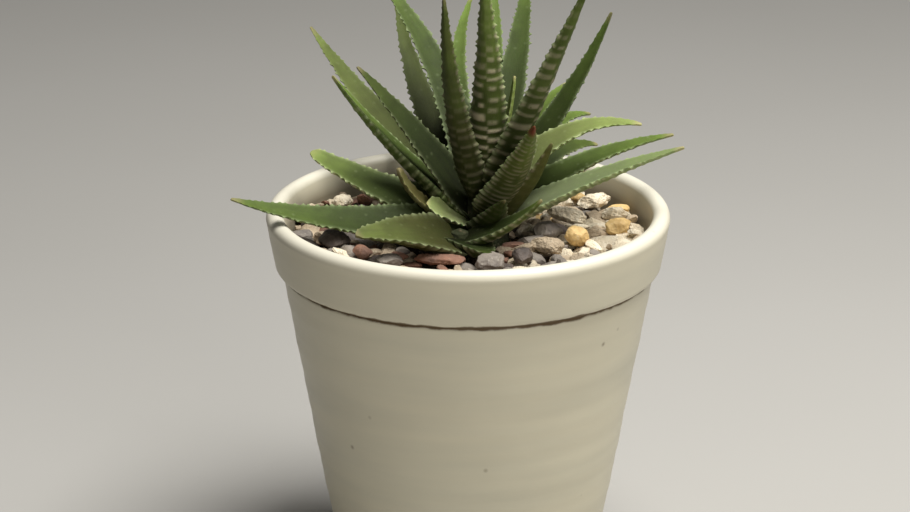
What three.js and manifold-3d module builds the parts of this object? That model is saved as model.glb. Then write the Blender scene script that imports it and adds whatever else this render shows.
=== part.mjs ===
// Potted haworthia: a rosette of thick keeled leaves with raised bands and toothed margins,
// in a thrown and glazed pot with a collar, soil and a top dressing of river gravel.
// Millimetres, +Z up. The origin is the centre of the pot's flat base; -Y is the near side.
import * as THREE from 'three';
import Module from 'manifold-3d';
import { mergeVertices } from 'three/addons/utils/BufferGeometryUtils.js';

// ---- driving dimensions ----------------------------------------------------------------------

const POT = {
  height: 95,
  rimRadius: 47.5,
  lipThickness: 4.2,
  collarHeight: 14.2,
  collarStep: 1.0,
  taper: 0.179, // radius gained per millimetre of height
  bodyWall: 3.3,
  lipDepth: 6, // how far down inside the lip runs into the wall
  floor: 6,
  floorCorner: 2, // slope between the wall and the floor inside
  footRadius: 1.6, // rounding of the bottom edge
  sides: 36,
};

// The groove under the collar, as distances in from the wall and up from the collar's lower edge.
const GROOVE = {
  depths: [0.5, 0.4, 0.3],
  heights: [-0.3, 0.2, 0.5],
  bodyEdge: 1.2, // where the wall below starts to turn in
  collarEdge: 1.5, // where the collar above has its full radius
};

const CLEARANCE = 0.3; // gap that neighbouring pieces keep
const WALL_GAP = 1.4 * CLEARANCE; // the same to the pot's wall, whose sides are flat

const FILL = {
  soilTop: 82.5,
  gravelBase: 82.8,
  gravelTop: 87.2,
  gravelRings: 10,
  gravelLump: 2.6, // height of the grains that the layer's top is raised in
  grainLift: 0.4, // share of that height that lies below the layer's top
  grainShift: 0.9,
  plainEdge: 1.5, // rim of the layer that stays flat
  pebbleHeight: 87.8,
  pebbleCount: 24,
  pebbleRadius: [2.6, 4.2],
  pebbleInset: 0.9, // share of its radius by which a pebble keeps off the wall
  pebbleTurn: 0.3, // most that a pebble is turned off the spiral, in radians
  pebbleLift: 0.6,
  pebbleNarrowing: 0.3,
  pebbleDepth: 1.5, // depth of a pebble over its radius
};

const STONE = {
  dent: [0.86, 0.2], // least reach of a stone's corner, and how much more it may have
  seat: 0.42, // share of a stone's height at which its middle lies above the pebbles' height
  growth: 2.4, // how much wider a stone gets where its neighbours are cut back by it
};

// The plant stands slightly right of the pot's axis, with a young offset at its foot.
const PLANT = {
  stem: 'stem',
  x: 3.5,
  y: 0,
  rootBottom: 62,
  baseHeight: 86,
  top: 103,
  rootRadius: 2.4,
  baseRadius: 6.4,
  tipRadius: 2.2,
};

const OFFSET = {
  stem: 'offset_stem',
  x: -2,
  y: -10,
  rootBottom: 76,
  baseHeight: 86,
  top: 92,
  rootRadius: 1.6,
  baseRadius: 3.0,
  tipRadius: 2.0,
};

const STEM = {
  sides: 12,
  crown: 1, // height of the blunt cone on top
};

const LEAF = {
  seatSink: 0.5, // share of the stem radius at which a leaf's own axis starts
  stations: [9, 18], // fewest and most
  stationPitch: 2.7,
  plainStations: 12,
  envelopeStations: 11, // of the grown leaf that neighbours are cut back by
  thickness: 0.34, // thickest point over width
  leastThickness: 0.5,
  axisDepth: 0.45, // how deep below the margins a leaf's own line runs, over thickness
  channel: 0.12, // hollow of the upper face over thickness
  shoulder: [0.55, 0.8], // the back's corners beside the keel: share of half width, share of depth
  clasp: [0.66, 0.34], // width at the seat, and what it gains by the end of the clasp
  claspEnd: 0.18, // share of the length
  taperFrom: 0.12, // share of the length at which the leaf starts to narrow
  taper: [1.12, 0.95], // how late and how bluntly it narrows
  band: 0.32, // height of a raised band on the back
  tooth: 0.42, // length of a tooth on the margin
  fullReliefWidth: 4, // leaf width from which bands and teeth have their full size
  bandsBetween: [0.1, 0.97], // shares of the length
  bend: 1.3, // how late along the leaf its rise changes
};

// How much of its growth an envelope gets on each side of a leaf.
const GROWTH = {
  amount: 1.2 * CLEARANCE,
  sideways: 1.7,
  depth: 1.2,
};

const COLOURS = {
  glaze: 0xa8a08c,
  soil: 0x3a2c20,
  gravel: 0x8f8372,
  stem: 0x6f7347,
  leaf: 0x6f8a4c,
  leafPale: 0x9fae6a,
  leafDark: 0x515b34,
  leafDry: 0x9a8353,
};

const ROUGHNESS = {
  leaf: 0.55,
  stone: 0.8,
  gravel: 0.85,
  soil: 0.95,
  stem: 0.7,
  glaze: 0.32,
};

// Leaves that read one by one. Angles in degrees: azimuth 0 is +X and 90 is +Y, away from the
// near side; rise is the start's slope, lift its change by the tip, sweep the turn sideways.
const LEAVES = [
  // name, azimuth, seat height, length, width, tip width, rise, lift, sweep, roll, colour
  ['leaf_heart', 19, 101, 26, 3.6, 1.2, 68, 18, 0, 0, 'leafPale'],
  ['leaf_mast_back', 81, 100, 61, 7.0, 1.2, 30, 19, 12, 0, 'leaf'],
  ['leaf_tall_left', 111, 98.6, 65, 6.9, 1.2, 35, -11, -38, 0, 'leaf'],
  ['leaf_tall_right', 71, 97.8, 72, 9.2, 1.2, 42, -21, 17, -2, 'leaf'],
  ['leaf_mast_front', 281, 97.9, 62, 10.4, 1.2, 75, 1, -29, 9, 'leafDark'],
  ['leaf_crown_right', 313, 96.9, 69, 9.3, 1.2, 60, 1.5, -2, 6, 'leafDark'],
  ['leaf_crown_left', 238, 96.4, 58, 7.7, 1.2, 61.5, 22, 15, -5, 'leafDark'],
  ['leaf_back_left', 111.6, 96.2, 68, 9.9, 1.2, 53, -22.6, 22.3, 7, 'leaf'],
  ['leaf_right_dark', 32, 95.3, 54, 8.8, 1.2, 41.4, 22.3, -1, -12, 'leaf'],
  ['leaf_right_behind', 50, 94.9, 38, 7.9, 1.4, 55.6, -39, -1, -5, 'leaf'],
  ['leaf_back_pale', 120, 94.4, 63, 9.8, 1.2, 25.2, 31.6, -11.7, 8, 'leafPale'],
  ['leaf_left_broad', 177, 93.0, 44.5, 10.2, 1.3, 56, -9, -7, 31, 'leafDark'],
  ['leaf_front_banded', 306, 93.5, 39, 11.6, 1.2, 48, 0, -27, 0, 'leafDark'],
  ['leaf_right_pale', 16, 93.0, 44, 10.0, 1.2, 62, -71, -24, -25, 'leafPale'],
  ['leaf_left_long', 137.5, 92.6, 68, 10.6, 1.2, 25, 11, -9, 10, 'leafPale'],
  ['leaf_left_short', 198, 91.8, 12.5, 6.4, 4.6, 23, 4, -4, 38, 'leafPale'],
  ['leaf_right_back', 56, 91.8, 48, 9.0, 1.4, 45.5, -62, -3, -19, 'leaf'],
  ['leaf_front_brown', 330, 91.7, 28, 10.4, 1.2, 43, 23, -12, 0, 'leafDark'],
  ['leaf_left_edge', 165, 91.3, 47.5, 11.0, 1.2, 38, 15, 4.5, -8, 'leaf'],
  ['leaf_right_tucked', 44, 91.9, 39.5, 9.6, 1.4, 41, -60, 0, -30, 'leafDark'],
  ['leaf_right_upper', 27, 91.4, 48, 9.2, 1.2, 30, -18, -30, -19, 'leaf'],
  ['leaf_dry_scrap', 190, 90.8, 23.5, 5.6, 2.0, 14, 58, -14, 12, 'leafDry'],
  ['leaf_left_low', 197, 90.3, 59, 12.4, 1.2, 4, 17, -4, 30, 'leaf'],
  ['leaf_right_lower', 353, 90.4, 49, 9.6, 1.2, 29.5, -10, 0, -13, 'leaf'],
  ['leaf_left_blunt', 166, 90.0, 42.5, 13.4, 3.2, 14.5, 13, -4, 20, 'leafDark'],
  ['leaf_front_short', 282, 89, 20, 9.8, 1.4, 41, 0, 9, 0, 'leafDark'],
];

const OFFSET_LEAVES = [
  ['leaf_offset_right', 333, 89.9, 23, 9.0, 1.4, 20, 30, 14, -12, 'leafDark'],
  ['leaf_offset_broad', 220, 89.2, 29, 15.0, 2.0, 24, -20, -10, 24, 'leafPale'],
  ['leaf_offset_front', 300, 89.6, 14.5, 12.0, 1.4, 0, 11, -3, 9, 'leafDark'],
];

// Leaves on the far side and between the ones above follow the rosette's own spiral.
const SPIRAL = {
  count: 7,
  firstAzimuth: 96,
  divergence: 137.5,
  arc: [66, 126], // where there is room for them
  seatHeight: [93, 89],
  length: [42, 46],
  lengthDraw: 3,
  width: [8.5, 9.8],
  tip: 1.2,
  rise: [32, 12],
  lift: [-6, 8],
  sweepDraw: 20,
};

// Stones that read one by one, lying on the dressing.
const STONES = [
  // name, x, y, length, width, height, turn, colour
  ['stone_ochre', 25.3, -6.8, 5.4, 6.6, 5.0, 80, 0xd9ab62],
  ['stone_amber', 35.2, 0.6, 7.6, 5.4, 4.4, 20, 0x9a7b47],
  ['stone_cream_long', 30.4, 20.6, 10.4, 5.0, 3.8, 30, 0xc9b697],
  ['stone_cream_edge', 35.4, 11.2, 8.6, 4.4, 3.6, 160, 0xd8c8a8],
  ['stone_white_ridge', 23.6, 10.6, 12.6, 4.4, 3.8, 150, 0xd6c9ab],
  ['stone_grey_round', 18.8, -1.6, 8.0, 6.6, 4.4, 35, 0x8a7f72],
  ['stone_tan', 18.4, -12.2, 9.0, 5.2, 4.0, 150, 0x9b8a75],
  ['stone_dark', 12.4, -19.2, 5.6, 5.2, 3.8, 60, 0x4b3629],
  ['stone_slate', 5.0, -25.0, 7.6, 6.4, 4.6, 15, 0x7d827a],
  ['stone_rust_flat', -6.8, -20.0, 13.0, 7.2, 3.2, 165, 0x8a6453],
  ['stone_lilac', -18.6, -23.4, 8.0, 5.6, 3.8, 20, 0x877b78],
  ['stone_russet', -24.4, -16.4, 6.4, 4.8, 3.4, 120, 0x8c5f4d],
  ['stone_charcoal', -31.2, -8.4, 10.2, 7.6, 4.4, 110, 0x4f4740],
  ['stone_white', -30.4, 20.4, 6.4, 4.6, 3.8, 40, 0xe2ddd0],
];

const SEED = 20417;

// ---- small helpers ---------------------------------------------------------------------------

const wasm = await Module();
wasm.setup();

const radians = THREE.MathUtils.degToRad;
const lerp = THREE.MathUtils.lerp;

function seededRandom(seed) {
  let state = seed;
  return () => {
    state = (state * 1664525 + 1013904223) % 4294967296;
    return state / 4294967296;
  };
}

// The same shape with only positions, and one vertex where several met.
function welded(geometry) {
  const bare = geometry.clone();
  bare.deleteAttribute('normal');
  bare.deleteAttribute('uv');
  return mergeVertices(bare, 1e-4);
}

function solidFrom(geometry) {
  const merged = welded(geometry);
  return new wasm.Manifold(new wasm.Mesh({
    numProp: 3,
    vertProperties: new Float32Array(merged.attributes.position.array),
    triVerts: new Uint32Array(merged.index.array),
  }));
}

function geometryFrom(solid) {
  const { vertProperties, triVerts } = solid.getMesh();
  const geometry = new THREE.BufferGeometry();
  geometry.setAttribute('position', new THREE.BufferAttribute(vertProperties, 3));
  geometry.setIndex(new THREE.BufferAttribute(triVerts, 1));
  geometry.computeVertexNormals();
  return geometry;
}

// Keeps the one body that matters when a cut leaves loose scraps.
function largestBody(solid) {
  return solid.decompose().reduce((best, body) => (body.volume() > best.volume() ? body : best));
}

function carve(solid, cutters) {
  const left = cutters.reduce((body, cutter) => body.subtract(cutter), solid);
  return largestBody(left);
}

function makeMesh(name, geometry, color, roughness) {
  const mesh = new THREE.Mesh(geometry, new THREE.MeshStandardMaterial({ color, roughness, metalness: 0 }));
  mesh.name = name;
  return mesh;
}

function latheAroundZ(points, sides) {
  return new THREE.LatheGeometry(points, sides).rotateX(Math.PI / 2);
}

// ---- pot, soil and stem ----------------------------------------------------------------------

const bodyRadius = (z) => POT.rimRadius - POT.collarStep - (POT.height - z) * POT.taper;
const collarRadius = (z) => POT.rimRadius - (POT.height - POT.lipThickness / 2 - z) * POT.taper;
const innerRadius = (z) => bodyRadius(z) - POT.bodyWall;

function arcPoints(x, y, radius, from, to, steps) {
  return Array.from({ length: steps + 1 }, (_, i) => {
    const angle = radians(lerp(from, to, i / steps));
    return new THREE.Vector2(x + radius * Math.cos(angle), y + radius * Math.sin(angle));
  });
}

function potGeometry() {
  const grooveZ = POT.height - POT.collarHeight;
  const [lowest, middle, highest] = GROOVE.heights;
  const lip = POT.lipThickness / 2;
  const foot = POT.footRadius;
  const point = (radius, z) => new THREE.Vector2(radius, z);
  return latheAroundZ([
    point(0, 0),
    ...arcPoints(bodyRadius(0) - foot, foot, foot, -90, 0, 2),
    point(bodyRadius(grooveZ - GROOVE.bodyEdge), grooveZ - GROOVE.bodyEdge),
    point(bodyRadius(grooveZ) - GROOVE.depths[0], grooveZ + lowest),
    point(bodyRadius(grooveZ) - GROOVE.depths[1], grooveZ + middle),
    point(collarRadius(grooveZ) - GROOVE.depths[2], grooveZ + highest),
    point(collarRadius(grooveZ + GROOVE.collarEdge), grooveZ + GROOVE.collarEdge),
    ...arcPoints(POT.rimRadius - lip, POT.height - lip, lip, 0, 180, 6),
    point(innerRadius(POT.height - POT.lipDepth), POT.height - POT.lipDepth),
    point(innerRadius(POT.floor + POT.floorCorner), POT.floor + POT.floorCorner),
    point(innerRadius(POT.floor) - POT.floorCorner, POT.floor),
    point(0, POT.floor),
  ], POT.sides);
}

// The fill between two heights, as wide as the pot's inside allows, with its top in rings.
function fillGeometry(bottom, top, rings = 1) {
  const radiusAt = (z) => innerRadius(z) - WALL_GAP;
  const corner = POT.floorCorner;
  return latheAroundZ([
    new THREE.Vector2(0, bottom),
    new THREE.Vector2(radiusAt(bottom) - corner, bottom),
    new THREE.Vector2(radiusAt(bottom + corner), bottom + corner),
    ...Array.from({ length: rings + 1 }, (_, i) => (
      new THREE.Vector2(radiusAt(top) * (1 - i / rings), top)
    )),
  ], POT.sides);
}

// Root below the base height, leafy stem above it.
function stemRadius(plant, z) {
  if (z < plant.baseHeight) {
    const share = (z - plant.rootBottom) / (plant.baseHeight - plant.rootBottom);
    return lerp(plant.rootRadius, plant.baseRadius, share);
  }
  return lerp(plant.baseRadius, plant.tipRadius, (z - plant.baseHeight) / (plant.top - plant.baseHeight));
}

function stemGeometry(plant, grow = 0) {
  return latheAroundZ([
    new THREE.Vector2(0, plant.rootBottom - grow),
    new THREE.Vector2(plant.rootRadius + grow, plant.rootBottom - grow),
    new THREE.Vector2(plant.baseRadius + grow, plant.baseHeight),
    new THREE.Vector2(plant.tipRadius + grow, plant.top),
    new THREE.Vector2(0, plant.top + STEM.crown + grow),
  ], STEM.sides).translate(plant.x, plant.y, 0);
}

// ---- leaves ----------------------------------------------------------------------------------

function readLeaf(plant, [name, azimuth, seat, length, width, tip, rise, lift, sweep, roll, colour]) {
  const stations = THREE.MathUtils.clamp(Math.round(length / LEAF.stationPitch), ...LEAF.stations);
  return { plant, name, azimuth, seat, length, width, tip, rise, lift, sweep, roll, colour, stations };
}

function spiralLeaves() {
  const random = seededRandom(SEED);
  const [from, to] = SPIRAL.arc;
  return Array.from({ length: SPIRAL.count }, (_, i) => {
    const share = i / (SPIRAL.count - 1);
    const turned = (SPIRAL.firstAzimuth + i * SPIRAL.divergence) % 360;
    return {
      plant: PLANT,
      name: `leaf_far_${String(i + 1).padStart(2, '0')}`,
      azimuth: lerp(from, to, turned / 360),
      seat: lerp(...SPIRAL.seatHeight, share),
      length: lerp(...SPIRAL.length, share) + SPIRAL.lengthDraw * random(),
      width: lerp(...SPIRAL.width, share),
      tip: SPIRAL.tip,
      rise: lerp(...SPIRAL.rise, share),
      lift: lerp(...SPIRAL.lift, random()),
      sweep: SPIRAL.sweepDraw * random() - SPIRAL.sweepDraw / 2,
      roll: 0,
      colour: 'leaf',
      stations: LEAF.plainStations,
    };
  });
}

// Walks the leaf from its seat to its tip: position, direction and the two axes of its section.
function leafStations(leaf) {
  const steps = leaf.stations - 1;
  const seatRadius = stemRadius(leaf.plant, leaf.seat) * LEAF.seatSink;
  const azimuth = radians(leaf.azimuth);
  const position = new THREE.Vector3(
    leaf.plant.x + seatRadius * Math.cos(azimuth),
    leaf.plant.y + seatRadius * Math.sin(azimuth),
    leaf.seat,
  );
  const directionAt = (share) => {
    const slope = radians(leaf.rise + leaf.lift * share ** LEAF.bend);
    const turn = radians(leaf.azimuth + leaf.sweep * share);
    return new THREE.Vector3(Math.cos(turn), Math.sin(turn), 0)
      .multiplyScalar(Math.cos(slope))
      .setZ(Math.sin(slope));
  };
  return Array.from({ length: steps + 1 }, (_, i) => {
    if (i > 0) {
      position.addScaledVector(directionAt((i - 0.5) / steps), leaf.length / steps);
    }
    const along = directionAt(i / steps);
    const turn = azimuth + radians(leaf.sweep) * (i / steps);
    const across = new THREE.Vector3(-Math.sin(turn), Math.cos(turn), 0);
    const above = along.clone().cross(across);
    across.applyAxisAngle(along, -radians(leaf.roll));
    above.applyAxisAngle(along, -radians(leaf.roll));
    return { share: i / steps, position: position.clone(), along, across, above };
  });
}

function leafWidth(leaf, share) {
  const [seatWidth, gain] = LEAF.clasp;
  const [lateness, bluntness] = LEAF.taper;
  const clasp = seatWidth + gain * Math.sin((Math.PI / 2) * Math.min(share / LEAF.claspEnd, 1));
  const narrowed = Math.max(0, (share - LEAF.taperFrom) / (1 - LEAF.taperFrom)) ** lateness;
  const taper = (1 - narrowed) ** bluntness;
  return leaf.tip + (leaf.width - leaf.tip) * clasp * taper;
}

// Six points round the leaf: margin, channel, margin, then the keeled back with its bands.
// A grown leaf is the plain envelope that its neighbours are cut back by.
function leafGeometry(leaf, grow = 0) {
  const positions = [];
  const stations = leafStations(leaf);
  const [firstBand, lastBand] = LEAF.bandsBetween;
  const [shoulderOut, shoulderDown] = LEAF.shoulder;
  stations.forEach(({ share, position, along, across, above }, i) => {
    const isBand = i % 2 === 1 && share > firstBand && share < lastBand;
    const width = leafWidth(leaf, share);
    const thickness = LEAF.leastThickness + LEAF.thickness * width;
    const relief = isBand || grow ? Math.min(1, width / LEAF.fullReliefWidth) : 0;
    const half = width / 2 + LEAF.tooth * relief + GROWTH.sideways * grow;
    const back = thickness + LEAF.band * relief + GROWTH.depth * grow;
    const hollow = LEAF.channel * thickness - GROWTH.depth * grow;
    const shift = (i === 0 ? -grow : 0) + (i === stations.length - 1 ? grow : 0);
    const section = [
      [half, grow],
      [0, -hollow],
      [-half, grow],
      [-shoulderOut * half, -shoulderDown * back],
      [0, -back],
      [shoulderOut * half, -shoulderDown * back],
    ];
    for (const [sideways, upward] of section) {
      const corner = position.clone()
        .addScaledVector(along, shift)
        .addScaledVector(across, sideways)
        .addScaledVector(above, upward + thickness * LEAF.axisDepth);
      positions.push(corner.x, corner.y, corner.z);
    }
  });
  const index = [];
  for (let i = 0; i + 1 < stations.length; i += 1) {
    for (let j = 0; j < 6; j += 1) {
      const [a, b] = [6 * i + j, 6 * i + ((j + 1) % 6)];
      index.push(a, b, b + 6, a, b + 6, a + 6);
    }
  }
  const last = 6 * (stations.length - 1);
  for (const [a, b] of [[5, 0], [0, 1], [1, 2], [2, 3]]) {
    index.push(4, b, a);
    index.push(last + 4, last + a, last + b);
  }
  const geometry = new THREE.BufferGeometry();
  geometry.setAttribute('position', new THREE.Float32BufferAttribute(positions, 3));
  geometry.setIndex(index);
  return geometry;
}

// ---- stones ----------------------------------------------------------------------------------

// A worn pebble: a sphere of few faces, flattened and dented by a seeded draw.
function pebbleGeometry(size, detail, random) {
  const geometry = welded(new THREE.IcosahedronGeometry(0.5, detail));
  const position = geometry.attributes.position;
  const [least, more] = STONE.dent;
  for (let i = 0; i < position.count; i += 1) {
    const dent = least + more * random();
    position.setXYZ(i, position.getX(i) * dent, position.getY(i) * dent, position.getZ(i) * dent);
  }
  return geometry.scale(...size);
}

function stoneGeometry([, x, y, length, width, height, turn], seed, grow = 0) {
  const size = [length, width, height].map((side) => side + STONE.growth * grow);
  return pebbleGeometry(size, 1, seededRandom(seed))
    .rotateZ(radians(turn))
    .translate(x, y, FILL.pebbleHeight + height * STONE.seat);
}

// The layer of small grains: its top is pushed up and sideways point by point.
function grainLayer(random) {
  const layer = welded(fillGeometry(FILL.gravelBase, FILL.gravelTop, FILL.gravelRings));
  const position = layer.attributes.position;
  const reach = innerRadius(FILL.gravelTop) - FILL.plainEdge;
  for (let i = 0; i < position.count; i += 1) {
    const [x, y, z] = [position.getX(i), position.getY(i), position.getZ(i)];
    if (z > FILL.gravelTop - 0.1 && Math.hypot(x, y) < reach) {
      const shift = FILL.grainShift * Math.min(1, Math.hypot(x, y) / reach);
      position.setXYZ(
        i,
        x + shift * (random() - 0.5),
        y + shift * (random() - 0.5),
        z + FILL.gravelLump * (random() - FILL.grainLift),
      );
    }
  }
  return solidFrom(layer);
}

// The dressing is one body: that layer with pebbles sunk in it, spread like sunflower seeds.
function gravelSolid() {
  const random = seededRandom(SEED + 1);
  const reach = innerRadius(FILL.gravelTop) - WALL_GAP;
  let solid = grainLayer(random);
  for (let i = 0; i < FILL.pebbleCount; i += 1) {
    const spread = Math.sqrt((i + 0.5) / FILL.pebbleCount);
    const radius = lerp(...FILL.pebbleRadius, random());
    const distance = (reach - radius * FILL.pebbleInset) * spread;
    const angle = i * radians(SPIRAL.divergence) + FILL.pebbleTurn * random();
    const height = FILL.pebbleHeight + FILL.pebbleLift * random();
    const narrowing = 1 - FILL.pebbleNarrowing + FILL.pebbleNarrowing * random();
    const size = [2 * radius, 2 * radius * narrowing, FILL.pebbleDepth * radius];
    const pebble = pebbleGeometry(size, 0, random)
      .rotateZ(Math.PI * random())
      .translate(distance * Math.cos(angle), distance * Math.sin(angle), height);
    solid = solid.add(solidFrom(pebble));
  }
  const wallRoom = latheAroundZ([
    new THREE.Vector2(0, FILL.gravelBase - 1),
    new THREE.Vector2(innerRadius(FILL.gravelBase - 1) - WALL_GAP, FILL.gravelBase - 1),
    new THREE.Vector2(innerRadius(POT.height) - WALL_GAP, POT.height),
    new THREE.Vector2(0, POT.height),
  ], POT.sides);
  return solid.intersect(solidFrom(wallRoom));
}

// ---- assembly --------------------------------------------------------------------------------

function buildHaworthia() {
  const group = new THREE.Group();
  const place = (name, solid, colour, roughness) => {
    group.add(makeMesh(name, geometryFrom(solid), colour, roughness));
  };
  const grownStems = [PLANT, OFFSET].map((plant) => solidFrom(stemGeometry(plant, CLEARANCE)));

  const grownLeaves = [];
  const leaves = [
    ...LEAVES.map((row) => readLeaf(PLANT, row)),
    ...spiralLeaves(),
    ...OFFSET_LEAVES.map((row) => readLeaf(OFFSET, row)),
  ].sort((a, b) => b.seat - a.seat);
  for (const leaf of leaves) {
    const body = carve(solidFrom(leafGeometry(leaf)), [...grownStems, ...grownLeaves]);
    place(leaf.name, body, COLOURS[leaf.colour], ROUGHNESS.leaf);
    const envelope = { ...leaf, stations: Math.min(leaf.stations, LEAF.envelopeStations) };
    grownLeaves.push(solidFrom(leafGeometry(envelope, GROWTH.amount)));
  }

  const grownStones = [];
  STONES.forEach((stone, i) => {
    const [name, colour] = [stone[0], stone[7]];
    const cutters = [...grownLeaves, ...grownStones];
    place(name, carve(solidFrom(stoneGeometry(stone, SEED + i)), cutters), colour, ROUGHNESS.stone);
    grownStones.push(solidFrom(stoneGeometry(stone, SEED + i, CLEARANCE)));
  });

  const gravel = carve(gravelSolid(), [...grownStems, ...grownLeaves, ...grownStones]);
  place('gravel_bed', gravel, COLOURS.gravel, ROUGHNESS.gravel);
  const soil = carve(solidFrom(fillGeometry(POT.floor + CLEARANCE, FILL.soilTop)), grownStems);
  place('soil', soil, COLOURS.soil, ROUGHNESS.soil);
  for (const plant of [PLANT, OFFSET]) {
    place(plant.stem, solidFrom(stemGeometry(plant)), COLOURS.stem, ROUGHNESS.stem);
  }
  place('pot', solidFrom(potGeometry()), COLOURS.glaze, ROUGHNESS.glaze);
  return group;
}

export default buildHaworthia();
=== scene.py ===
"""A potted haworthia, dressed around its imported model.

The pot, the gravel and every leaf are modelled finely in the place of their plain solids. Lengths
in the classes are millimetres in the model's own frame (+Z up, -Y towards the viewer), and the
meshes are written in metres. Only the studio's lengths are metres.
"""

import logging
import math
import random
from collections.abc import Callable, Sequence
from dataclasses import dataclass
from enum import Enum
from typing import ClassVar

import bmesh
import bpy
import numpy as np
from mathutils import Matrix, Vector, noise

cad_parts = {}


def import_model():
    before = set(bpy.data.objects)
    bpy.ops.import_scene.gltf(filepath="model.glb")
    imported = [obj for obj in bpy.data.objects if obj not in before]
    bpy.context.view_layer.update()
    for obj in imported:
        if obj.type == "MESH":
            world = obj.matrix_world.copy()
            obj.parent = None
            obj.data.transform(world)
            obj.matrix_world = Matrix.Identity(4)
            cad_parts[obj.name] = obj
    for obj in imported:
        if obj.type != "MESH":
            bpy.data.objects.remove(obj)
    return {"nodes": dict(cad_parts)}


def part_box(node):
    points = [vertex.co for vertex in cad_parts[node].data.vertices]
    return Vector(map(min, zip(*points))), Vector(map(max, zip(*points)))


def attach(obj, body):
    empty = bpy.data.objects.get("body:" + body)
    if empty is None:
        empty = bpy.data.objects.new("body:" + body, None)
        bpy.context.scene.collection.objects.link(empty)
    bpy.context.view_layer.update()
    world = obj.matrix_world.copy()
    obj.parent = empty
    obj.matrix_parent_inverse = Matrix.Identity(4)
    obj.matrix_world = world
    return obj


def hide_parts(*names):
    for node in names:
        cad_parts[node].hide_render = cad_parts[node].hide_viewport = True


MM = 0.001
ROOT = "root"
SEED = 20417
LOG = logging.getLogger("haworthia")

Colour = tuple[float, float, float]
Triple = tuple[float, float, float]
Pair = tuple[float, float]
Rows = np.ndarray


# ---- colours, meshes and nodes -----------------------------------------------------------------


def srgb(red: int, green: int, blue: int) -> Colour:
    """Turns a colour as a screen shows it into the linear values that shaders use.

    Args:
        red: Red from 0 to 255.
        green: Green from 0 to 255.
        blue: Blue from 0 to 255.

    Returns:
        The three linear values.
    """

    def linear(value: int) -> float:
        """One channel, by the standard curve of screens."""
        share = value / 255
        return share / 12.92 if share <= 0.04045 else ((share + 0.055) / 1.055) ** 2.4

    return linear(red), linear(green), linear(blue)


def smooth_step(low: float, high: float, values: Rows) -> Rows:
    """Rises smoothly from 0 at low to 1 at high.

    Args:
        low: Where the rise starts.
        high: Where it ends.
        values: The values to look up.

    Returns:
        The shares, from 0 to 1.
    """
    share = np.clip((values - low) / (high - low), 0, 1)
    return share * share * (3 - 2 * share)


def rough_ground(place: Vector) -> float:
    """The height of rough broken ground at a place: lumps on lumps, both ways from 0."""
    smoothness, gap, octaves = 0.8, 2.1, 4
    return noise.fractal(place, smoothness, gap, octaves)


def mesh_arrays(made: bmesh.types.BMesh) -> tuple[Rows, list[tuple[int, ...]]]:
    """Reads the points and faces of a mesh under work, and frees it.

    Args:
        made: The mesh.

    Returns:
        Its points, one row each, and the point numbers of each face.
    """
    points = np.array([vertex.co[:] for vertex in made.verts])
    faces = [tuple(vertex.index for vertex in face.verts) for face in made.faces]
    made.free()
    return points, faces


def make_piece(
    name: str,
    vertices: Rows,
    faces: Sequence[Sequence[int]],
    material: bpy.types.Material,
    marks: dict[str, Rows] | None = None,
    crisp: float = 180.0,
) -> bpy.types.Object:
    """Makes a smooth-shaded piece that rides on the part's one body.

    Args:
        name: The piece's name.
        vertices: Its points in millimetres, one row each.
        faces: The point numbers of each face.
        material: Its finish.
        marks: Named vectors, one row for each point, that the finish reads.
        crisp: The angle in degrees past which an edge stays sharp.

    Returns:
        The new object.
    """
    mesh = bpy.data.meshes.new(name)
    mesh.from_pydata((np.asarray(vertices) * MM).tolist(), [], faces)
    mesh.polygons.foreach_set("use_smooth", [True] * len(mesh.polygons))
    for mark, rows in (marks or {}).items():
        layer = mesh.attributes.new(mark, "FLOAT_VECTOR", "POINT")
        layer.data.foreach_set("vector", np.asarray(rows, dtype=np.float32).ravel())
    mesh.materials.append(material)
    mesh.update()
    mesh.set_sharp_from_angle(angle=math.radians(crisp))
    piece = bpy.data.objects.new(name, mesh)
    bpy.context.scene.collection.objects.link(piece)
    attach(piece, ROOT)
    LOG.info("%s: %d faces", name, len(mesh.polygons))
    return piece


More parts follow.
